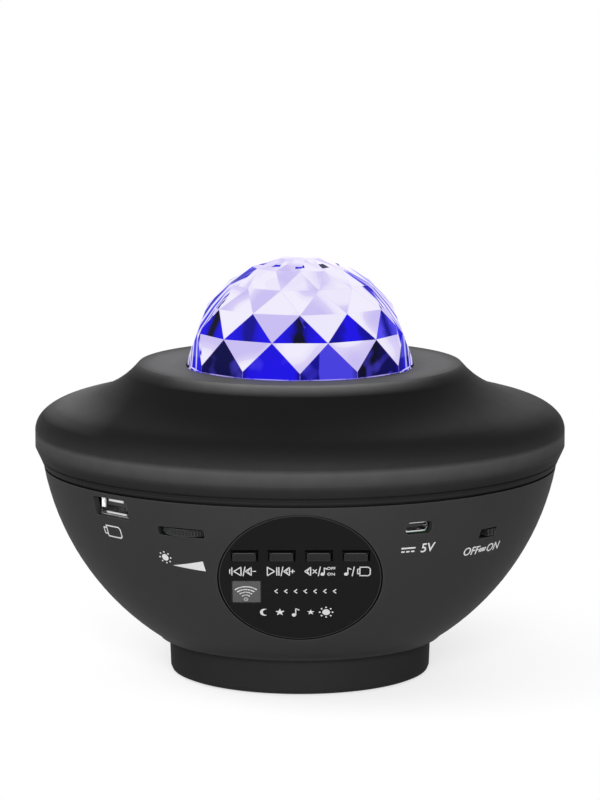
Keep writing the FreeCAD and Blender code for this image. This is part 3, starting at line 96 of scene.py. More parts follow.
# Middles of the legends on the bowl: angle in degrees and height
STICK_PLACE = (-46.6, 53.4 * MM)
SUN_PLACE = (-32.6, 47.6 * MM)
WEDGE_PLACE = (-30.8, 44.9 * MM)
WEDGE_LEAN = 2.0
SUPPLY_PLACE = (27.4, 51.0 * MM)
POWER_PLACE = (47.4, 47.6 * MM)

# Heights of the legends on the panel and the middle of its window, in millimetres
KEY_SIGN_ROW = 2.6
KEY_SIGN_SCALE = 0.9
CHEVRON_ROW = -5.2
PICTURE_ROW = -13.5
WINDOW_MIDDLE = (-16.1, -5.9)

# Widths of printed lines, in millimetres
THIN, LINE, WIDE, BOLD = 0.34, 0.36, 0.4, 0.5

# Camera
CAMERA_DISTANCE = 1.2
CAMERA_RISE = math.radians(9.8)
CAMERA_LIFT = math.radians(1.1)
CAMERA_AIM_HEIGHT = 62 * MM
CAMERA_LENS = 172.6
CAMERA_SENSOR = 36.0
CAMERA_CLIP = 0.05

# Floor: half its side, its tone, and how its shadow fades out away from the object
FLOOR_HEIGHT = -0.05 * MM
FLOOR_REACH = 6.0
FLOOR_TONE = 0.93
SHADOW_START = 0.04
SHADOW_END = 0.15
SHADOW_FADE = 0.65

# Plain light from all sides
WORLD_TONE = 0.55

# Lamps: name, place, point aimed at, diameter in metres and power in watts
LAMPS = (("key", (-0.9, -0.3, 1.0), (0, 0, 0.06), 0.8, 8.0),
         ("fill", (0.0, -1.25, 0.42), (0, 0, 0.05), 0.6, 24.0),
         ("rim", (0.3, 1.2, 0.8), (0, 0, 0.08), 0.9, 3.0))

# Reach of the painted shade in gaps and inner corners, and radii of the lighter edges, which are
# partly rubbed wear and partly painted highlight, and of the painted light lines along the dome's
# cuts
CREVICE_SHADE_REACH = 1.2 * MM
PANEL_CREVICE_SHADE_REACH = 3.0 * MM
RUBBED_AND_HIGHLIT_RADIUS = 0.6 * MM
CUT_RADIUS = 0.35 * MM

# Tones of the cover: its black, the painted sheen of its brim and plateau, and the painted light
# and shade of the band under the brim, which go by the share of its height
COVER_BLACK = (0.0052, 0.0052, 0.0054, 1.0)
BRIM_SHEEN_LEFT, BRIM_SHEEN_RIGHT = 0.125, 0.024
PLATEAU_SHEEN_BACK, PLATEAU_SHEEN_FRONT = 0.14, 0.11
BAND_LOW, BAND_HEIGHT = 64 * MM, 20 * MM
# Painted light and shade down the band, with a painted highlight near its ridge
BAND_PAINTED_LIGHT = [(0.0, 0.009), (0.12, 0.008), (0.14, 0.014), (0.165, 0.009), (0.33, 0.013),
              (0.46, 0.03), (0.59, 0.042), (0.66, 0.016), (0.8, 0.010), (1.0, COVER_BLACK)]

# Colours of the dome's painted glow, standing in for the light from inside and its refraction and
# reflection in the cuts
NAVY = (0.001, 0.001, 0.06, 1)
INK = (0.001, 0.001, 0.018, 1)
DEEP = (0.003, 0.001, 0.28, 1)
ROYAL = (0.010, 0.003, 0.78, 1)
VIOLET = (0.085, 0.065, 0.90, 1)
LILAC = (0.28, 0.22, 0.82, 1)
LAVENDER = (0.50, 0.43, 0.86, 1)
PALE = (0.70, 0.64, 0.93, 1)
WHITE = (0.88, 0.85, 0.985, 1)

# One colour for each of the twelve facets in a row
PENTAGON_LEFT = (ROYAL, DEEP, NAVY, NAVY, INK, ROYAL, DEEP, INK, DEEP, DEEP, VIOLET, INK)
PENTAGON_RIGHT = (VIOLET, ROYAL, DEEP, ROYAL, NAVY, ROYAL, VIOLET, INK, ROYAL, NAVY, ROYAL, DEEP)
TRIANGLE_HEARTS = (NAVY, DEEP, INK, DEEP, INK, DEEP, INK, ROYAL, DEEP, INK, NAVY, ROYAL)
TRIANGLE_TIPS = (ROYAL, VIOLET, ROYAL, NAVY, ROYAL, ROYAL, ROYAL, DEEP, VIOLET, ROYAL, VIOLET, NAVY)
# Painted streaks of refracted light
STREAK_TONES = [(0.0, NAVY), (0.33, ROYAL), (0.38, PALE), (0.45, WHITE), (0.48, VIOLET),
                (0.50, DEEP), (0.53, ROYAL), (0.56, LAVENDER), (0.63, WHITE), (0.68, DEEP)]

# Painted flecks of blue glow round the top of the dome: how many, and the radius of their ring in
# millimetres
FLECKS = 9
FLECK_RADIUS = 11.6

# Step that gives all of one facet the same value, and how far apart facets read their pattern
FACET_STEP = 0.04
PATTERN_JUMP = 0.4


def put(name, data):
    """Adds an object to the scene."""
    obj = bpy.data.objects.new(name, data)
    bpy.context.scene.collection.objects.link(obj)
    return obj


def camera():
    """Camera at the photograph's angle, aimed a little above the object."""
    data = bpy.data.cameras.new("camera")
    data.sensor_width = CAMERA_SENSOR
    data.lens = CAMERA_LENS
    data.clip_start = CAMERA_CLIP
    obj = put("camera", data)
    obj.location = (0, -CAMERA_DISTANCE * math.cos(CAMERA_RISE),
                    CAMERA_AIM_HEIGHT + CAMERA_DISTANCE * math.sin(CAMERA_RISE))
    obj.rotation_euler = (math.pi / 2 - CAMERA_RISE + CAMERA_LIFT, 0, 0)
    bpy.context.scene.camera = obj


def grey(value):
    return (value, value, value, 1.0)


def tone(value):
    """A grey from a number; a colour or a socket stays as it is."""
    return grey(value) if isinstance(value, (int, float)) else value


def tinted(colour, factor, lift=0.0):
    """A colour made darker or paler, up to white."""
    return tuple(min(1.0, c * factor + lift) for c in colour) + (1.0,)


class Nodes:
    """Short way to write a node tree. Inputs are sockets or plain values."""

    def __init__(self, tree):
        self.tree = tree
        tree.nodes.clear()

    def add(self, kind, **values):
        node = self.tree.nodes.new(kind)
        for key, value in values.items():
            if key in node.inputs:
                node.inputs[key].default_value = value
            else:
                setattr(node, key, value)
        return node

    def link(self, a, b):
        self.tree.links.new(a, b)

    def feed(self, socket, value):
        if isinstance(value, bpy.types.NodeSocket):
            self.link(value, socket)
        else:
            socket.default_value = value

    def math(self, operation, *inputs):
        node = self.add("ShaderNodeMath", operation=operation)
        for socket, value in zip(node.inputs, inputs):
            self.feed(socket, value)
        return node.outputs[0]

    def clamp(self, value, low, high):
        return self.math("MINIMUM", self.math("MAXIMUM", value, low), high)

    def vector(self, operation, *inputs):
        node = self.add("ShaderNodeVectorMath", operation=operation)
        for socket, value in zip(node.inputs, inputs):
            self.feed(socket, value)
        return node.outputs["Value" if operation in ("DOT_PRODUCT", "LENGTH") else "Vector"]

    def split(self, vector):
        node = self.add("ShaderNodeSeparateXYZ")
        self.link(vector, node.inputs[0])
        return node.outputs

    def from_axis(self, x, y):
        """Distance from the upright axis."""
        flat = self.add("ShaderNodeCombineXYZ")
        self.link(x, flat.inputs[0])
        self.link(y, flat.inputs[1])
        return self.vector("LENGTH", flat.outputs[0])

    def stretched(self, coords, scale):
        node = self.add("ShaderNodeMapping", Scale=scale)
        self.link(coords, node.inputs["Vector"])
        return node.outputs[0]

    def mix(self, factor, a, b, blend="MIX"):
        node = self.add("ShaderNodeMix", data_type="RGBA", blend_type=blend)
        self.feed(node.inputs[0], factor)
        self.feed(node.inputs[6], tone(a))
        self.feed(node.inputs[7], tone(b))
        return node.outputs[2]

    def ramp(self, factor, stops, constant=False):
        node = self.tree.nodes.new("ShaderNodeValToRGB")
        node.color_ramp.interpolation = "CONSTANT" if constant else "LINEAR"
        elements = node.color_ramp.elements
        while len(elements) < len(stops):
            elements.new(1.0)
        for element, (place, colour) in zip(elements, stops):
            element.position = place
            element.color = tone(colour)
        self.link(factor, node.inputs[0])
        return node.outputs[0]

    def noise(self, coords, scale, detail=3.0, roughness=0.5):
        node = self.add("ShaderNodeTexNoise", Scale=scale, Detail=detail, Roughness=roughness)
        self.link(coords, node.inputs["Vector"])
        return node.outputs["Fac"]


def material(name):
    mat = bpy.data.materials.new(name)
    mat.use_nodes = True
    tree = Nodes(mat.node_tree)
    out = tree.add("ShaderNodeOutputMaterial")
    shader = tree.add("ShaderNodeBsdfPrincipled")
    tree.link(shader.outputs[0], out.inputs[0])
    place = tree.add("ShaderNodeTexCoord").outputs["Object"]
    return mat, tree, shader, place


def settle(shader, values):
    """Sets plain values on a shader's own sockets."""
    for name, value in values.items():
        shader.inputs[name].default_value = value


def roughen(tree, shader, height, strength, depth):
    """Fine relief from a pattern."""
    bump = tree.add("ShaderNodeBump", Strength=strength, Distance=depth)
    tree.link(height, bump.inputs["Height"])
    tree.link(bump.outputs[0], shader.inputs["Normal"])


def crevice_shade(tree, base, reach=CREVICE_SHADE_REACH):
    """Painted shade: darkens a colour in gaps and inner corners."""
    open_share = tree.add("ShaderNodeAmbientOcclusion", Distance=reach, samples=8).outputs["AO"]
    return tree.mix(1.0, base, tree.ramp(open_share, [(0.3, 0.1), (0.85, 1.0)]), "MULTIPLY")


def rubbed_and_highlit(tree, base, sheen_tone, share):
    """Lightens a colour along sharp edges: partly rubbed wear, partly painted highlight."""
    edge = tree.add("ShaderNodeBevel", Radius=RUBBED_AND_HIGHLIT_RADIUS, samples=4).outputs[0]
    plain = tree.add("ShaderNodeNewGeometry").outputs["Normal"]
    turned = tree.math("SUBTRACT", 1.0, tree.vector("DOT_PRODUCT", edge, plain))
    wear_and_sheen = tree.math("MINIMUM", tree.math("MULTIPLY", turned, 3.0), 1.0)
    return tree.mix(tree.math("MULTIPLY", wear_and_sheen, share), base, sheen_tone)


def moulded(name, colour, roughness, specular, grain=2600.0, grain_depth=0.02, mottling=0.12,
            edge_wear_and_highlight=0.0, reach=CREVICE_SHADE_REACH):
    """Moulded plastic: fine spark-eroded grain, faint mottling of gloss, painted shade in gaps, and
    lighter edges that are partly rubbed wear and partly painted highlight.

    The colour is three numbers, or a function that makes the whole base colour in the tree.
    The grain's depth is in millimetres.
    """
    mat, tree, shader, place = material(name)
    shader.inputs["Specular IOR Level"].default_value = specular
    broad = tree.noise(place, 45.0, 4.0, 0.6)
    if callable(colour):
        base = colour(tree)
    else:
        base = tree.mix(broad, tinted(colour, 0.82), tinted(colour, 1.0))
        # Lighter edges: partly rubbed wear, partly painted highlight
        if edge_wear_and_highlight:
            base = rubbed_and_highlit(tree, base, tinted(colour, 3, 0.01), edge_wear_and_highlight)
        # Painted shade in gaps and inner corners
        base = crevice_shade(tree, base, reach)
    tree.link(base, shader.inputs["Base Color"])
    gloss = tree.math("MULTIPLY_ADD", broad, mottling, roughness - mottling / 2)
    tree.link(gloss, shader.inputs["Roughness"])
    roughen(tree, shader, tree.noise(place, grain, 2.0, 0.5), 0.35, grain_depth * MM)
    return mat


def cover_colour(tree):
    """Base colour of the cover: black, with painted sheen on level faces and round the dome, and
    painted light and shade down the band under the brim.
    """
    coords = tree.add("ShaderNodeTexCoord").outputs
    x, y, z = tree.split(coords["Object"])
    upward = tree.split(coords["Normal"])[2]
    wear_and_sheen = tree.noise(coords["Object"], 160.0, 4.0, 0.65)

    # Brim: painted sheen where it lies level, out at the sides and towards the back, less so on the
    # right, as if lit from the left
    brim_sheen = tree.mix(tree.math("MULTIPLY_ADD", x, 6.0, 0.5), BRIM_SHEEN_LEFT, BRIM_SHEEN_RIGHT)
    level = tree.ramp(upward, [(0.72, 0.0), (0.92, 0.45), (0.99, 1.0)])
    outward = tree.math("MULTIPLY", tree.math("ABSOLUTE", x), PER_DECIMETRE)
    outward = tree.math("MULTIPLY_ADD", y, 3.0, outward)
    level = tree.mix(tree.ramp(outward, [(0.42, 0.0), (0.75, 1.0)]), 0.0, level)

    # Plateau: painted sheen that fades outwards, except for a painted highlight on its front lip
    plateau_sheen = tree.mix(tree.math("MULTIPLY_ADD", y, -22.0, 0.1), PLATEAU_SHEEN_BACK, PLATEAU_SHEEN_FRONT)
    above_rounding = tree.math("SUBTRACT", z, PLATEAU_HEIGHT - PLATEAU_ROUNDING)
    high = tree.clamp(tree.math("MULTIPLY", above_rounding, 340.0), 0.0, 1.0)
    radius = tree.math("MULTIPLY", tree.from_axis(x, y), PER_DECIMETRE)
    fading = tree.ramp(radius, [(0.40, 1.0), (0.46, 0.75), (0.50, 0.35), (0.515, 0.2)])
    lip_highlight = tree.clamp(tree.math("MULTIPLY_ADD", y, -50.0, -1.5), 0.0, 0.9)
    rounded = tree.ramp(upward, [(0.3, 0.0), (0.75, 1.0)])
    rounded = tree.mix(1.0, rounded, tree.mix(lip_highlight, fading, 1.0), "MULTIPLY")
    sheen_tone = tree.mix(high, brim_sheen, plateau_sheen)
    # Noise breaks up the painted sheen towards black
    sheen_tone = tree.mix(tree.math("MULTIPLY", wear_and_sheen, 0.25), sheen_tone, COVER_BLACK)
    level = tree.mix(high, level, rounded)

    # Band under the brim: painted light and shade by height, with a painted highlight near the
    # brim's ridge and painted shade in its gaps
    height = tree.math("MULTIPLY_ADD", z, 1 / BAND_HEIGHT, -BAND_LOW / BAND_HEIGHT)
    band_shading = tree.ramp(height, BAND_PAINTED_LIGHT)
    band_shading = tree.mix(tree.math("MULTIPLY", wear_and_sheen, 0.3), band_shading, COVER_BLACK)
    above_band = tree.ramp(height, [(0.66, 0.0), (0.8, 1.0)])
    level = tree.mix(1.0, level, above_band, "MULTIPLY")
    return tree.mix(level, crevice_shade(tree, band_shading), sheen_tone)


def metal(name, colour, roughness, scratch=900.0):
    """Plated or turned metal with fine drawn lines."""
    mat, tree, shader, place = material(name)
    shader.inputs["Metallic"].default_value = 1.0
    lines = tree.noise(tree.stretched(place, (1.0, 1.0, 8.0)), scratch, 4.0, 0.6)
    drawn = tree.mix(lines, tinted(colour, 0.8), tinted(colour, 1.0))
    tree.link(drawn, shader.inputs["Base Color"])
    tree.link(tree.math("MULTIPLY_ADD", lines, 0.2, roughness - 0.1), shader.inputs["Roughness"])
    roughen(tree, shader, lines, 0.2, 0.01 * MM)
    return mat


def printed_ink():
    """White pad-printed ink, slightly uneven."""
    mat, tree, shader, place = material("white_ink")
    patchy = tree.noise(place, 3500.0, 3.0, 0.6)
    tree.link(tree.mix(patchy, 0.27, 0.40), shader.inputs["Base Color"])
    tree.link(tree.math("MULTIPLY_ADD", patchy, 0.2, 0.45), shader.inputs["Roughness"])
    return mat


def azimuth(tree, vector):
    """Direction of a vector, from 0 to 1 once round the dome from the back, and its upward part."""
    x, y, z = tree.split(vector)
    angle = tree.math("ARCTAN2", x, tree.math("MULTIPLY", y, -1.0))
    return tree.math("MULTIPLY_ADD", angle, 1 / math.tau, 0.5), z


def facet_rises():
    """Upward lean of the facets in each row of the dome, from the bottom row to the top."""
    step = math.tau / DOME_SIDES
    rings = [math.radians(DOME_FIRST_RING + DOME_RING_STEP * i) for i in range(DOME_RINGS)]

    def corner(latitude, turn):
        flat = math.cos(latitude)
        return Vector((flat * math.cos(turn), flat * math.sin(turn), math.sin(latitude)))

    rises = []
    for low, high in zip(rings, rings[1:]):
        pointing_up = (corner(low, -step / 2), corner(low, step / 2), corner(high, 0))
        pointing_down = (corner(high, step / 2), corner(high, -step / 2), corner(low, 0))
        for a, b, c in (pointing_up, pointing_down):
            rises.append((b - a).cross(c - a).normalized().z)
    return rises


def by_turn(tree, around, colours, first):
    """One colour to each facet in a row; first is the share of a turn to start at."""
    place = tree.math("FRACT", tree.math("SUBTRACT", around, first))
    stops = [(i / DOME_SIDES, colours[i]) for i in range(DOME_SIDES)]
    return tree.ramp(place, stops, True)


def pentagon_row(tree, around, spot, broad, fine):
    """Bottom row of painted glow: two tones side by side in each facet, darker towards its ends."""
    across = tree.math("FRACT", tree.math("MULTIPLY", spot, DOME_SIDES))
    left = by_turn(tree, around, PENTAGON_LEFT, 0.0)
    right = by_turn(tree, around, PENTAGON_RIGHT, 0.0)
    slant = tree.math("ADD", across, tree.math("MULTIPLY", fine, 0.12))
    row = tree.mix(tree.ramp(slant, [(0.0, 0), (0.385, 0), (0.395, 1)]), left, right)
    ends = tree.ramp(across, [(0.0, 0.8), (0.10, 0), (0.9, 0), (1.0, 0.8)])
    row = tree.mix(ends, row, NAVY)
    cloud = tree.ramp(broad, [(0.42, 0), (0.60, 0.55)])
    row = tree.mix(cloud, row, tree.mix(0.5, row, DEEP))
    return tree.mix(tree.ramp(fine, [(0.56, 0), (0.70, 0.35)]), row, VIOLET)


def triangle_row(tree, around, spot, seen, fine):
    """Second row of painted glow: triangles with a dark heart and bright ends, or the other way
    round, and painted glints.
    """
    middle = tree.math("FRACT", tree.math("MULTIPLY_ADD", spot, DOME_SIDES, 0.5))
    middle = tree.math("ABSOLUTE", tree.math("SUBTRACT", middle, 0.5))
    middle = tree.math("ADD", middle, tree.math("MULTIPLY_ADD", fine, 0.3, -0.15))
    half_facet = 0.5 / DOME_SIDES
    hearts = by_turn(tree, around, TRIANGLE_HEARTS, 1 - half_facet)
    tips = by_turn(tree, around, TRIANGLE_TIPS, 1 - half_facet)
    row = tree.mix(tree.ramp(middle, [(0.08, 0), (0.17, 0.7), (0.3, 1)]), hearts, tips)
    shards = tree.add("ShaderNodeTexVoronoi", Scale=110.0)
    tree.link(seen, shards.inputs["Vector"])
    shard = tree.add("ShaderNodeSeparateColor")
    tree.link(shards.outputs["Color"], shard.inputs[0])
    glints = tree.ramp(shard.outputs[1], [(0.0, NAVY), (0.35, DEEP), (0.8, VIOLET)], True)
    return tree.mix(tree.ramp(fine, [(0.60, 0), (0.63, 0.5)]), row, glints)


def pale_crown(tree, rise, row_limits, own, broad, fine):
    """Nearly white rows of painted glow and reflection, with soft lavender patches that have one
    sharp side.
    """
    soft = tree.ramp(broad, [(0.36, LAVENDER), (0.46, PALE), (0.54, WHITE)])
    sharp = tree.ramp(broad, [(0.0, PALE), (0.47, PALE), (0.475, WHITE)])
    crown = tree.mix(0.4, soft, sharp)
    crown = tree.mix(tree.math("MULTIPLY", own, 0.22), crown, PALE)
    patches = tree.ramp(fine, [(0.42, LAVENDER), (0.50, PALE), (0.58, WHITE)])
    shares = [(0.0, 0), (row_limits[5], 0.1), (row_limits[7], 0.3), (0.98, 0.5)]
    return tree.mix(tree.ramp(rise, shares, True), crown, patches)


def fleck_ring(tree, spot, radius, fine):
    """One inside the painted flecks in a ring round the top, and nought elsewhere."""
    turn = tree.math("MULTIPLY", tree.math("SUBTRACT", spot, 0.5), math.tau * FLECKS)
    beat = tree.math("GREATER_THAN", tree.math("COSINE", turn), 0.45)
    wander = tree.math("MULTIPLY_ADD", fine, 6.0, -3.0)
    off_ring = tree.math("SUBTRACT", tree.math("ADD", radius, wander), FLECK_RADIUS)
    width = tree.math("MULTIPLY_ADD", fine, 2.4, -0.4)
    ring = tree.math("LESS_THAN", tree.math("ABSOLUTE", off_ring), width)
    return tree.math("MULTIPLY", ring, beat)


def dome_material():
    """Cut acrylic with a painted glow that stands in for the light from inside: each facet shows
    another piece of a painted pattern of refracted and reflected light.
    """
    mat, tree, shader, place = material("lit_dome")
    flat_normal = tree.add("ShaderNodeNewGeometry").outputs["True Normal"]
    turned = tree.add("ShaderNodeVectorTransform", vector_type="NORMAL", convert_from="WORLD",
                      convert_to="OBJECT")
    tree.link(flat_normal, turned.inputs[0])
    normal = turned.outputs[0]
    around, rise = azimuth(tree, normal)
    spot, _ = azimuth(tree, place)
    x, y, _ = tree.split(place)
    radius = tree.math("MULTIPLY", tree.from_axis(x, y), 1 / MM)
    rises = facet_rises()
    row_limits = [(a + b) / 2 for a, b in zip(rises, rises[1:])]

    # A value of its own for each facet, and a pattern that is read from another place behind each
    chance = tree.add("ShaderNodeTexWhiteNoise")
    tree.link(tree.vector("SNAP", normal, (FACET_STEP,) * 3), chance.inputs["Vector"])
    own = chance.outputs["Value"]
    seen = tree.vector("MULTIPLY_ADD", chance.outputs["Color"], (PATTERN_JUMP,) * 3, place)
    broad = tree.noise(seen, 60.0, 0.5, 0.4)
    fine = tree.noise(seen, 160.0, 1.0, 0.5)

    pentagons = pentagon_row(tree, around, spot, broad, fine)
    triangles = triangle_row(tree, around, spot, seen, fine)
    crown = pale_crown(tree, rise, row_limits, own, broad, fine)
    flecks = fleck_ring(tree, spot, radius, fine)
    crown = tree.mix(flecks, crown, tree.mix(own, NAVY, ROYAL))

    # Painted streaks of refracted light down both flanks, where the cut rows lie one behind another
    lines = tree.noise(tree.stretched(place, (0.12, 1.0, 0.18)), 190.0, 0.0, 0.5)
    streaks = tree.ramp(lines, STREAK_TONES)
    depth = tree.math("MULTIPLY", tree.math("ABSOLUTE", y), 1 / MM)
    bend = tree.math("MULTIPLY_ADD", broad, 0.5, 0.17)
    flank = tree.math("LESS_THAN", depth, tree.math("MULTIPLY", radius, bend))
    streaked = tree.mix(flank, crown, streaks)
    crown = tree.mix(tree.math("LESS_THAN", rise, 0.9), crown, streaked)

    bottom = tree.ramp(rise, [(0.0, 1), (row_limits[0], 0)], True)
    blue = tree.mix(bottom, triangles, pentagons)
    blue = tree.mix(tree.math("MULTIPLY", flank, 0.85), blue, streaks)
    pale_rows = [(0.0, 0), (row_limits[0], 1), (row_limits[1], 0), (row_limits[2], 1)]
    is_pale = tree.ramp(rise, pale_rows, True)
    colour = tree.mix(is_pale, blue, crown)

    # Painted highlight: thin light lines where the cuts meet
    edge = tree.add("ShaderNodeBevel", Radius=CUT_RADIUS, samples=6).outputs[0]
    meet = tree.vector("DOT_PRODUCT", edge, flat_normal)
    line = tree.ramp(meet, [(0.0, 0.7), (0.9965, 0.7), (0.9995, 0)])
    outline = tree.mix(is_pale, LILAC, tree.mix(0.5, WHITE, LAVENDER))
    # Painted glow: the colours are emitted by the acrylic itself
    tree.link(tree.mix(line, colour, outline), shader.inputs["Emission Color"])
    settle(shader, {"Base Color": grey(0.003), "Emission Strength": 0.99,
                    "Specular IOR Level": 0.012, "Roughness": 0.12})
    return mat


def window_material():
    """Smooth dark pane over the receiver."""
    mat, tree, shader, place = material("receiver_pane")
    cloud = tree.noise(place, 300.0, 3.0, 0.6)
    tree.link(tree.mix(cloud, 0.026, 0.036), shader.inputs["Base Color"])
    tree.link(tree.math("MULTIPLY_ADD", cloud, 0.1, 0.3), shader.inputs["Roughness"])
    return mat


def circuit_material():
    """Green solder mask with darker tracks."""
    mat, tree, shader, place = material("solder_mask")
    tracks = tree.add("ShaderNodeTexVoronoi", Scale=420.0, distance="MANHATTAN",
                      feature="DISTANCE_TO_EDGE")
    tree.link(place, tracks.inputs["Vector"])
    line = tree.ramp(tracks.outputs[0], [(0.0, 1.0), (0.05, 0.0)])
    green = tree.mix(line, (0.01, 0.09, 0.03, 1), (0.03, 0.2, 0.08, 1))
    tree.link(green, shader.inputs["Base Color"])
    shader.inputs["Roughness"].default_value = 0.35
    return mat


def clear_lens_material():
    """Clear acrylic with a faint cloud."""
    mat, tree, shader, place = material("clear_lens")
    cloud = tree.noise(place, 200.0, 2.0, 0.5)
    tree.link(tree.mix(cloud, (0.8, 0.85, 0.95, 1), 0.95), shader.inputs["Base Color"])
    settle(shader, {"Transmission Weight": 0.9, "Roughness": 0.08, "IOR": 1.49})
    return mat


def dress_nodes():
    """Gives each piece of the frame its material, by its slot or by its name."""
    # Lighter edges on these plastics are partly rubbed wear, partly painted highlight
    black = moulded("black_plastic", (0.0178, 0.0178, 0.0182), 0.62, 0.06, edge_wear_and_highlight=0.3)
    cover = moulded("cover_plastic", cover_colour, 0.5, 0.01)
    foot = moulded("foot_plastic", (0.0135, 0.0135, 0.014), 0.62, 0.015, edge_wear_and_highlight=0.3)
    # The panel's wider reach spreads the painted shade round its raised keys
    panel = moulded("panel_plastic", (0.0036, 0.0036, 0.0038), 0.5, 0.06, grain=1800.0, edge_wear_and_highlight=0.8,
                    reach=PANEL_CREVICE_SHADE_REACH)
    key = moulded("key_plastic", (0.008, 0.008, 0.0085), 0.38, 0.12, edge_wear_and_highlight=1.0)
    rubber = moulded("rubber", (0.02, 0.02, 0.02), 0.75, 0.3, grain=1500.0, grain_depth=0.05)
    inner = moulded("inner_plastic", (0.03, 0.03, 0.032), 0.5, 0.4)
    gear = moulded("gear_plastic", (0.75, 0.75, 0.72), 0.4, 0.5)
    socket = moulded("socket_plastic", (0.012, 0.012, 0.012), 0.4, 0.4)
    steel = metal("plated_steel", (0.82, 0.82, 0.82), 0.25)
    enamel = moulded("enamel", (0.03, 0.03, 0.032), 0.3, 0.5)
    magnet = moulded("ferrite", (0.05, 0.05, 0.055), 0.6, 0.4, grain=900.0, grain_depth=0.05)
    paper = moulded("cone_paper", (0.03, 0.03, 0.033), 0.7, 0.3, grain=700.0, grain_depth=0.1)
    by_slot = {
        "black_plastic": black, "panel_plastic": panel, "key_plastic": key, "rubber": rubber,
        "inner_plastic": inner, "gear_plastic": gear, "socket_plastic": socket,
        "component": socket, "plated_steel": steel, "painted_steel": enamel, "magnet": magnet,
        "cone_plastic": paper,
        "aluminium": metal("aluminium", (0.8, 0.81, 0.83), 0.35),
        "brass": metal("brass", (0.75, 0.55, 0.25), 0.25),
        "circuit_board": circuit_material(), "window_plastic": window_material(),
        "lamp_lens": clear_lens_material(), "clear_acrylic": dome_material(),
    }
    by_name = {"top_cover": cover, "base_foot": foot}
    for part in frame["record"]["subparts"]:
        name = part["node"]
        obj = nodes[name]
        obj.data.materials.clear()
        obj.data.materials.append(by_name.get(name) or by_slot[part["material_slot"]])


# Printed legends. A drawing is a list of flat polygons in millimetres, x right and y up.

def fill(points):
    return [list(points)]


def box(left, low, right, high):
    return fill([(left, low), (right, low), (right, high), (left, high)])


def stroke(points, width, closed=False):
    """Quads along a line of points, one per stretch, with square joints."""
    polygons = []
    pairs = list(zip(points, points[1:]))
    if closed:
        pairs.append((points[-1], points[0]))
    for a, b in pairs:
        a, b = Vector(a), Vector(b)
        along = (b - a).normalized() * (width / 2)
        side = Vector((-along.y, along.x))
        start, end = a - along * 0.6, b + along * 0.6
        polygons.append([start - side, end - side, end + side, start + side])
    return polygons


def arc(centre, radius, start, end, count=10):
    points = []
    for i in range(count + 1):
        a = math.radians(start + (end - start) * i / count)
        points.append((centre[0] + radius * math.cos(a), centre[1] + radius * math.sin(a)))
    return points


def disc(centre, radius, count=20):
    return fill(arc(centre, radius, 0, 360 - 360 / count, count - 1))


def shift(drawing, x, y, scale=1.0):
    return [[Vector((p[0] * scale + x, p[1] * scale + y)) for p in polygon]
            for polygon in drawing]


def lettering(text, size, x=0.0, y=0.0):
    """Plain letters as triangles, centred on a point."""
    curve = bpy.data.curves.new("letters", "FONT")
    curve.body = text
    curve.size = size
    curve.align_x = "CENTER"
    curve.align_y = "CENTER"
    curve.offset = size * LETTER_WEIGHT
    curve.resolution_u = 3
    obj = put("letters", curve)
    bpy.context.view_layer.update()
    evaluated = obj.evaluated_get(bpy.context.evaluated_depsgraph_get())
    mesh = bpy.data.meshes.new_from_object(evaluated)
    polygons = [[mesh.vertices[i].co.to_2d() for i in p.vertices] for p in mesh.polygons]
    bpy.data.objects.remove(obj)
    bpy.data.meshes.remove(mesh)
    return shift(polygons, x, y)


def speaker_sign(width=1.9, height=3.5, line=LINE):
    """Loudspeaker as a triangle that widens to the right, with a second line inside its mouth."""
    shape = [(width / 2, height / 2), (-width / 2, 0), (width / 2, -height / 2)]
    inner = [(width * 0.2, height * 0.22), (-width * 0.12, 0), (width * 0.2, -height * 0.22)]
    return stroke(shape, line, True) + stroke(inner, line * 0.7)


def triangle_sign(direction, width=2.4, height=3.7, line=0.38):
    tip, back = width / 2 * direction, -width / 2 * direction
    return stroke([(back, height / 2), (back, -height / 2), (tip, 0)], line, True)


def bars(places, heights):
    drawing = []
    for x, height in zip(places, heights):
        drawing += stroke([(x, -height / 2), (x, height / 2)], LINE)
    return drawing


def slash(x, height=3.9):
    return stroke([(x - 0.32, -height / 2), (x + 0.32, height / 2)], THIN)


def note_sign():
    head = disc((-0.5, -1.3), 0.75, 14)
    return head + stroke([(0.15, -1.3), (0.15, 1.7), (1.3, 1.0)], WIDE)


def stick_sign(width, height, line):
    """Outline of a memory stick: a rounded body and its plug."""
    half, high, cut = width / 2, height / 2, height * 0.18
    body = [(-half, high), (half - cut, high), (half, high - cut), (half, -high + cut),
            (half - cut, -high), (-half, -high)]
    plug_end, plug_half = -half - width * 0.22, high * 0.55
    plug = [(-half, plug_half), (plug_end, plug_half), (plug_end, -plug_half), (-half, -plug_half)]
    return stroke(body, line, True) + stroke(plug, line)


def receiver_arcs():
    """Waves over a dot, for the remote control's receiver."""
    source = (0, -2.4)
    drawing = []
    for radius in (1.6, 2.7, 3.8, 4.9):
        drawing += stroke(arc(source, radius, 50, 130), 0.42)
    return drawing + stroke(arc(source, 0.5, 0, 360, 12), 0.3)


def moon_sign():
    outer = arc((0, 0), 1.6, 57.2, 302.8, 18)
    inner = arc((0.75, 0), 1.35, 275, 85, 14)
    return fill(outer + inner[1:-1])


def star_sign(radius=1.7):
    points = []
    for i in range(10):
        reach = radius if i % 2 == 0 else radius * 0.42
        a = math.radians(90 + 36 * i)
        points.append((reach * math.cos(a), reach * math.sin(a)))
    return fill(points)


def sun_sign():
    drawing = disc((0, 0), 1.35)
    for i in range(8):
        a = math.radians(45 * i)
        drawing += disc((2.25 * math.cos(a), 2.25 * math.sin(a)), 0.33, 10)
    return drawing


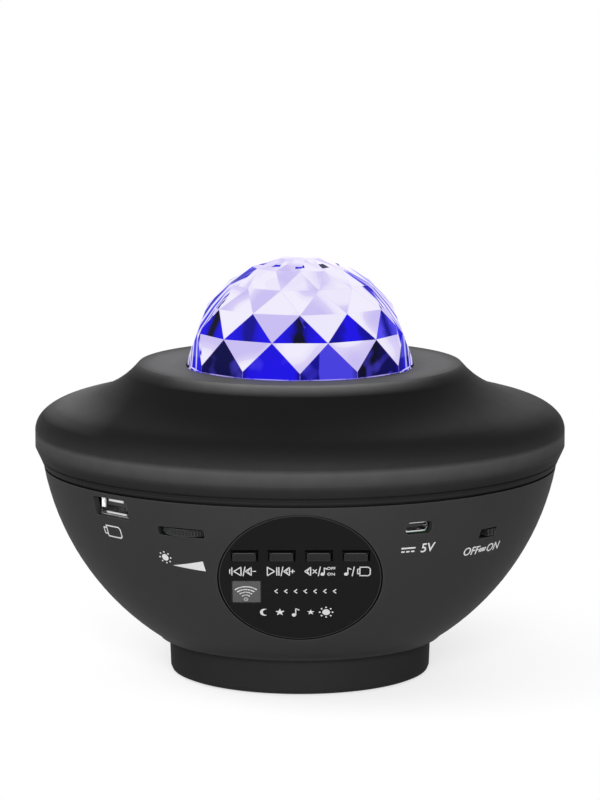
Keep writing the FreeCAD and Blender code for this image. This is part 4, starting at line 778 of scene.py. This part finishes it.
def wedge_sign(length, height, steps=12):
    """Growing wedge, cut into strips so that it bends round the bowl."""
    drawing = []
    for i in range(steps):
        a, b = length * i / steps, length * (i + 1) / steps
        ha, hb = height / 2 * i / steps, height / 2 * (i + 1) / steps
        tip = [(0, 0), (b, -hb), (b, hb)]
        drawing.append([(a, -ha), (b, -hb), (b, hb), (a, ha)] if i else tip)
    return drawing


def print_on(name, drawing, place, ink):
    """Makes thin ink from a drawing; place turns x and y in metres and a height into a point."""
    bm = bmesh.new()
    low, high = PRINT_LIFT - PRINT_THICKNESS, PRINT_LIFT
    for polygon in drawing:
        flat = [Vector((p[0] * MM, p[1] * MM, 0)) for p in polygon]
        area = sum(a.x * b.y - b.x * a.y for a, b in zip(flat, flat[1:] + flat[:1]))
        if area < 0:
            flat.reverse()
        top = [bm.verts.new(place(p.x, p.y, high)) for p in flat]
        under = [bm.verts.new(place(p.x, p.y, low)) for p in flat]
        for a, b, c in tessellate_polygon([flat]):
            winding = (flat[b] - flat[a]).cross(flat[c] - flat[a]).z
            order = (a, b, c) if winding > 0 else (a, c, b)
            bm.faces.new([top[i] for i in order])
            bm.faces.new([under[i] for i in reversed(order)])
        count = len(flat)
        for i in range(count):
            j = (i + 1) % count
            bm.faces.new([top[j], top[i], under[i], under[j]])
    mesh = bpy.data.meshes.new(name)
    bm.to_mesh(mesh)
    bm.free()
    mesh.materials.append(ink)
    obj = put(name, mesh)
    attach(obj, "housing")


def on_panel(x, y, height):
    """Point on the keypad panel: x to the right and y up it from its centre."""
    normal = Vector((0, -math.cos(PANEL_TILT), -math.sin(PANEL_TILT)))
    up = Vector((0, -math.sin(PANEL_TILT), math.cos(PANEL_TILT)))
    distance = math.sqrt(BOWL_RADIUS ** 2 - PANEL_FLAT_RADIUS ** 2) - PANEL_SINK
    return BOWL_CENTRE + normal * (distance + height) + Vector((x, 0, 0)) + up * y


def on_bowl(angle, level, lean=0.0):
    """Maker of points on the bowl near an angle and a height; lean turns the drawing."""
    a = math.radians(angle)
    rise = math.asin((level - BOWL_CENTRE.z) / BOWL_RADIUS)
    normal = Vector((math.sin(a) * math.cos(rise), -math.cos(a) * math.cos(rise), math.sin(rise)))
    right = Vector((math.cos(a), math.sin(a), 0))
    up = normal.cross(right)
    tilt = math.radians(lean)

    def place(x, y, height):
        px = x * math.cos(tilt) - y * math.sin(tilt)
        py = x * math.sin(tilt) + y * math.cos(tilt)
        direction = (normal * BOWL_RADIUS + right * px + up * py).normalized()
        return BOWL_CENTRE + direction * (BOWL_RADIUS + height)

    return place


def key_signs():
    """The signs under the four keys, each group placed by its middle across the panel."""
    previous = bars((-4.1, -3.4), (1.8, 3.2)) + shift(triangle_sign(-1), -1.6, 0)
    previous += slash(0.6) + shift(speaker_sign(), 2.0, 0) + stroke([(3.5, 0), (4.4, 0)], LINE)
    play = shift(triangle_sign(1), -3.2, 0) + bars((-1.3, -0.6), (3.4, 3.4)) + slash(0.4)
    play += shift(speaker_sign(), 1.9, 0)
    play += stroke([(3.3, 0), (4.5, 0)], LINE) + stroke([(3.9, -0.7), (3.9, 0.7)], LINE)
    mute = shift(speaker_sign(), -4.0, 0)
    mute += stroke([(-2.3, 0.8), (-1.1, -0.8)], THIN) + stroke([(-2.3, -0.8), (-1.1, 0.8)], THIN)
    mute += slash(-0.2) + shift(note_sign(), 1.3, 0, 0.9)
    mute += lettering("OFF", 1.65, 3.7, 1.25) + lettering("ON", 1.65, 3.7, -1.25)
    mode = shift(note_sign(), -3.4, 0, 0.9) + slash(-1.5)
    mode += shift(stick_sign(3.4, 3.7, LINE), 2.4, 0)
    signs = []
    for group, middle in ((previous, -17.1), (play, -5.7), (mute, 5.9), (mode, 17.1)):
        signs += shift(group, middle, KEY_SIGN_ROW, KEY_SIGN_SCALE)
    return signs


def panel_legend():
    """Key signs, a row of chevrons and a row of small pictures."""
    drawing = key_signs()
    for i in range(7):
        x = -7.5 + 2.9 * i
        ends = [(x + 0.75, CHEVRON_ROW + 0.7), (x, CHEVRON_ROW), (x + 0.75, CHEVRON_ROW - 0.7)]
        drawing += stroke(ends, THIN)
    signs = [moon_sign(), star_sign(), note_sign(), star_sign(1.3), sun_sign()]
    for i, sign in enumerate(signs):
        drawing += shift(sign, -10.6 + 4.6 * i, PICTURE_ROW, 0.85)
    return drawing


def supply_legend():
    """Direct-current sign and the voltage."""
    drawing = lettering("5V", 4.3, 3.4, 0)
    drawing += stroke([(-5.4, 0.55), (-1.0, 0.55)], BOLD)
    for i in range(3):
        drawing += stroke([(-5.2 + 1.6 * i, -0.65), (-4.4 + 1.6 * i, -0.65)], BOLD)
    return drawing


def power_legend():
    """The switch's two ends with a slanted mark between them."""
    drawing = lettering("OFF", 4.0, -4.8, 0) + lettering("ON", 4.0, 5.3, 0)
    for i in range(4):
        drawing += stroke([(-1.1 + 0.75 * i, -0.55), (-0.9 + 0.75 * i, 0.55)], 0.55)
    return drawing


def legends():
    ink = printed_ink()
    print_on("print_panel", panel_legend(), on_panel, ink)
    print_on("print_window", shift(receiver_arcs(), *WINDOW_MIDDLE), on_panel, ink)
    print_on("print_stick", stick_sign(6.2, 3.6, WIDE), on_bowl(*STICK_PLACE), ink)
    print_on("print_sun", shift(sun_sign(), 0, 0, 0.85), on_bowl(*SUN_PLACE), ink)
    wedge = shift(wedge_sign(10.7, 3.6), -0.2, 0.4)
    print_on("print_wedge", wedge, on_bowl(*WEDGE_PLACE, WEDGE_LEAN), ink)
    print_on("print_supply", supply_legend(), on_bowl(*SUPPLY_PLACE), ink)
    print_on("print_power", power_legend(), on_bowl(*POWER_PLACE), ink)


def key_gap_shadows():
    """Painted shadow: narrow dead-black strips let into the panel round the keys, where their gaps
    lie in shade, widest above them; and a painted highlight ring inside the panel's edge.
    """
    low, high = KEY_ROW - KEY_DEPTH / 2, KEY_ROW + KEY_DEPTH / 2
    gap_shadows = []
    for x in KEY_PLACES:
        left, right = x - KEY_WIDTH / 2, x + KEY_WIDTH / 2
        gap_shadows += box(left - GAP_SHADOW_ABOVE_LEFT, high, right + GAP_SHADOW_RIGHT, high + GAP_SHADOW_ABOVE)
        gap_shadows += box(right, low - GAP_SHADOW_BELOW, right + GAP_SHADOW_RIGHT, high)
        gap_shadows += box(left - GAP_SHADOW_LEFT, low - GAP_SHADOW_BELOW, left, high)
    # Painted shadow in the gaps round the keys
    black = moulded("painted_gap_shadow", (0.0012, 0.0012, 0.0012), 0.8, 0.0)
    print_on("key_gap_shadows", gap_shadows, on_panel, black)
    # Painted highlight along the panel's edge
    line = moulded("rim_highlight", (0.022, 0.022, 0.022), 0.5, 0.1)
    circle = arc((0, 0), PANEL_HIGHLIGHT_RADIUS, 0, 360, 96)
    print_on("panel_rim_highlight", stroke(circle, PANEL_HIGHLIGHT_WIDTH), on_panel, line)


def socket_springs():
    """Bright contact springs just inside the mouth of the larger socket."""
    angle = math.radians(USB_ANGLE)
    out = Vector((math.sin(angle), -math.cos(angle), 0))
    right = Vector((math.cos(angle), math.sin(angle), 0))
    up = Vector((0, 0, 1))
    mouth = out * USB_MOUTH_RADIUS + up * USB_MOUTH_HEIGHT
    steel = metal("spring_steel", (0.86, 0.86, 0.86), 0.4)
    quads = [(3, 2, 1, 0), (4, 5, 6, 7), (0, 1, 5, 4), (1, 2, 6, 5), (2, 3, 7, 6), (3, 0, 4, 7)]
    for name, x, z, width, height in SOCKET_SPRINGS:
        corners = []
        for depth in (SPRING_BACK, SPRING_FRONT):
            for side, rise in ((-1, -1), (1, -1), (1, 1), (-1, 1)):
                across, above = x + side * width / 2, z + rise * height / 2
                corners.append(mouth + (right * across + up * above + out * depth) * MM)
        mesh = bpy.data.meshes.new(name)
        mesh.from_pydata(corners, [], quads)
        mesh.materials.append(steel)
        obj = put(name, mesh)
        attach(obj, "housing")


def seen_directly(tree):
    """One where the background shows, straight or in gloss and glass; nought for its light."""
    path = tree.add("ShaderNodeLightPath").outputs
    seen = tree.math("MAXIMUM", path["Is Camera Ray"], path["Is Glossy Ray"])
    return tree.math("MAXIMUM", seen, path["Is Transmission Ray"])


def stage():
    """Pale floor that keeps a soft shadow near the object and is plain white further out."""
    mesh = bpy.data.meshes.new("floor")
    corners = [(x * FLOOR_REACH, y * FLOOR_REACH, FLOOR_HEIGHT)
               for x, y in ((-1, -1), (1, -1), (1, 1), (-1, 1))]
    mesh.from_pydata(corners, [], [(0, 1, 2, 3)])
    floor = put("floor", mesh)
    mat = bpy.data.materials.new("floor")
    mat.use_nodes = True
    tree = Nodes(mat.node_tree)
    out = tree.add("ShaderNodeOutputMaterial")
    lit = tree.add("ShaderNodeBsdfDiffuse", Color=grey(FLOOR_TONE))
    plain = tree.add("ShaderNodeEmission", Color=grey(1.0), Strength=1.0)
    place = tree.add("ShaderNodeNewGeometry").outputs["Position"]
    away = tree.add("ShaderNodeMapRange", interpolation_type="SMOOTHSTEP")
    settle(away, {"From Min": SHADOW_START, "From Max": SHADOW_END, "To Min": SHADOW_FADE})
    tree.link(tree.vector("LENGTH", place), away.inputs["Value"])
    mixer = tree.add("ShaderNodeMixShader")
    tree.link(tree.math("MULTIPLY", seen_directly(tree), away.outputs[0]), mixer.inputs[0])
    tree.link(lit.outputs[0], mixer.inputs[1])
    tree.link(plain.outputs[0], mixer.inputs[2])
    tree.link(mixer.outputs[0], out.inputs[0])
    mesh.materials.append(mat)


def world():
    """White where it is seen, plain grey light where it is not."""
    studio = bpy.data.worlds.new("studio")
    bpy.context.scene.world = studio
    studio.use_nodes = True
    tree = Nodes(studio.node_tree)
    out = tree.add("ShaderNodeOutputWorld")
    back = tree.add("ShaderNodeBackground")
    tree.link(tree.mix(seen_directly(tree), WORLD_TONE, 1.0), back.inputs["Color"])
    tree.link(back.outputs[0], out.inputs[0])


def lamp(name, place, target, size, power):
    data = bpy.data.lights.new(name, "AREA")
    data.shape = "DISK"
    data.size = size
    data.energy = power
    obj = put(name, data)
    obj.location = place
    aim = Vector(target) - Vector(place)
    obj.rotation_euler = aim.to_track_quat("-Z", "Y").to_euler()


camera()
dress_nodes()
legends()
key_gap_shadows()
socket_springs()
stage()
world()
for values in LAMPS:
    lamp(*values)
bpy.context.scene.view_settings.view_transform = "Standard"
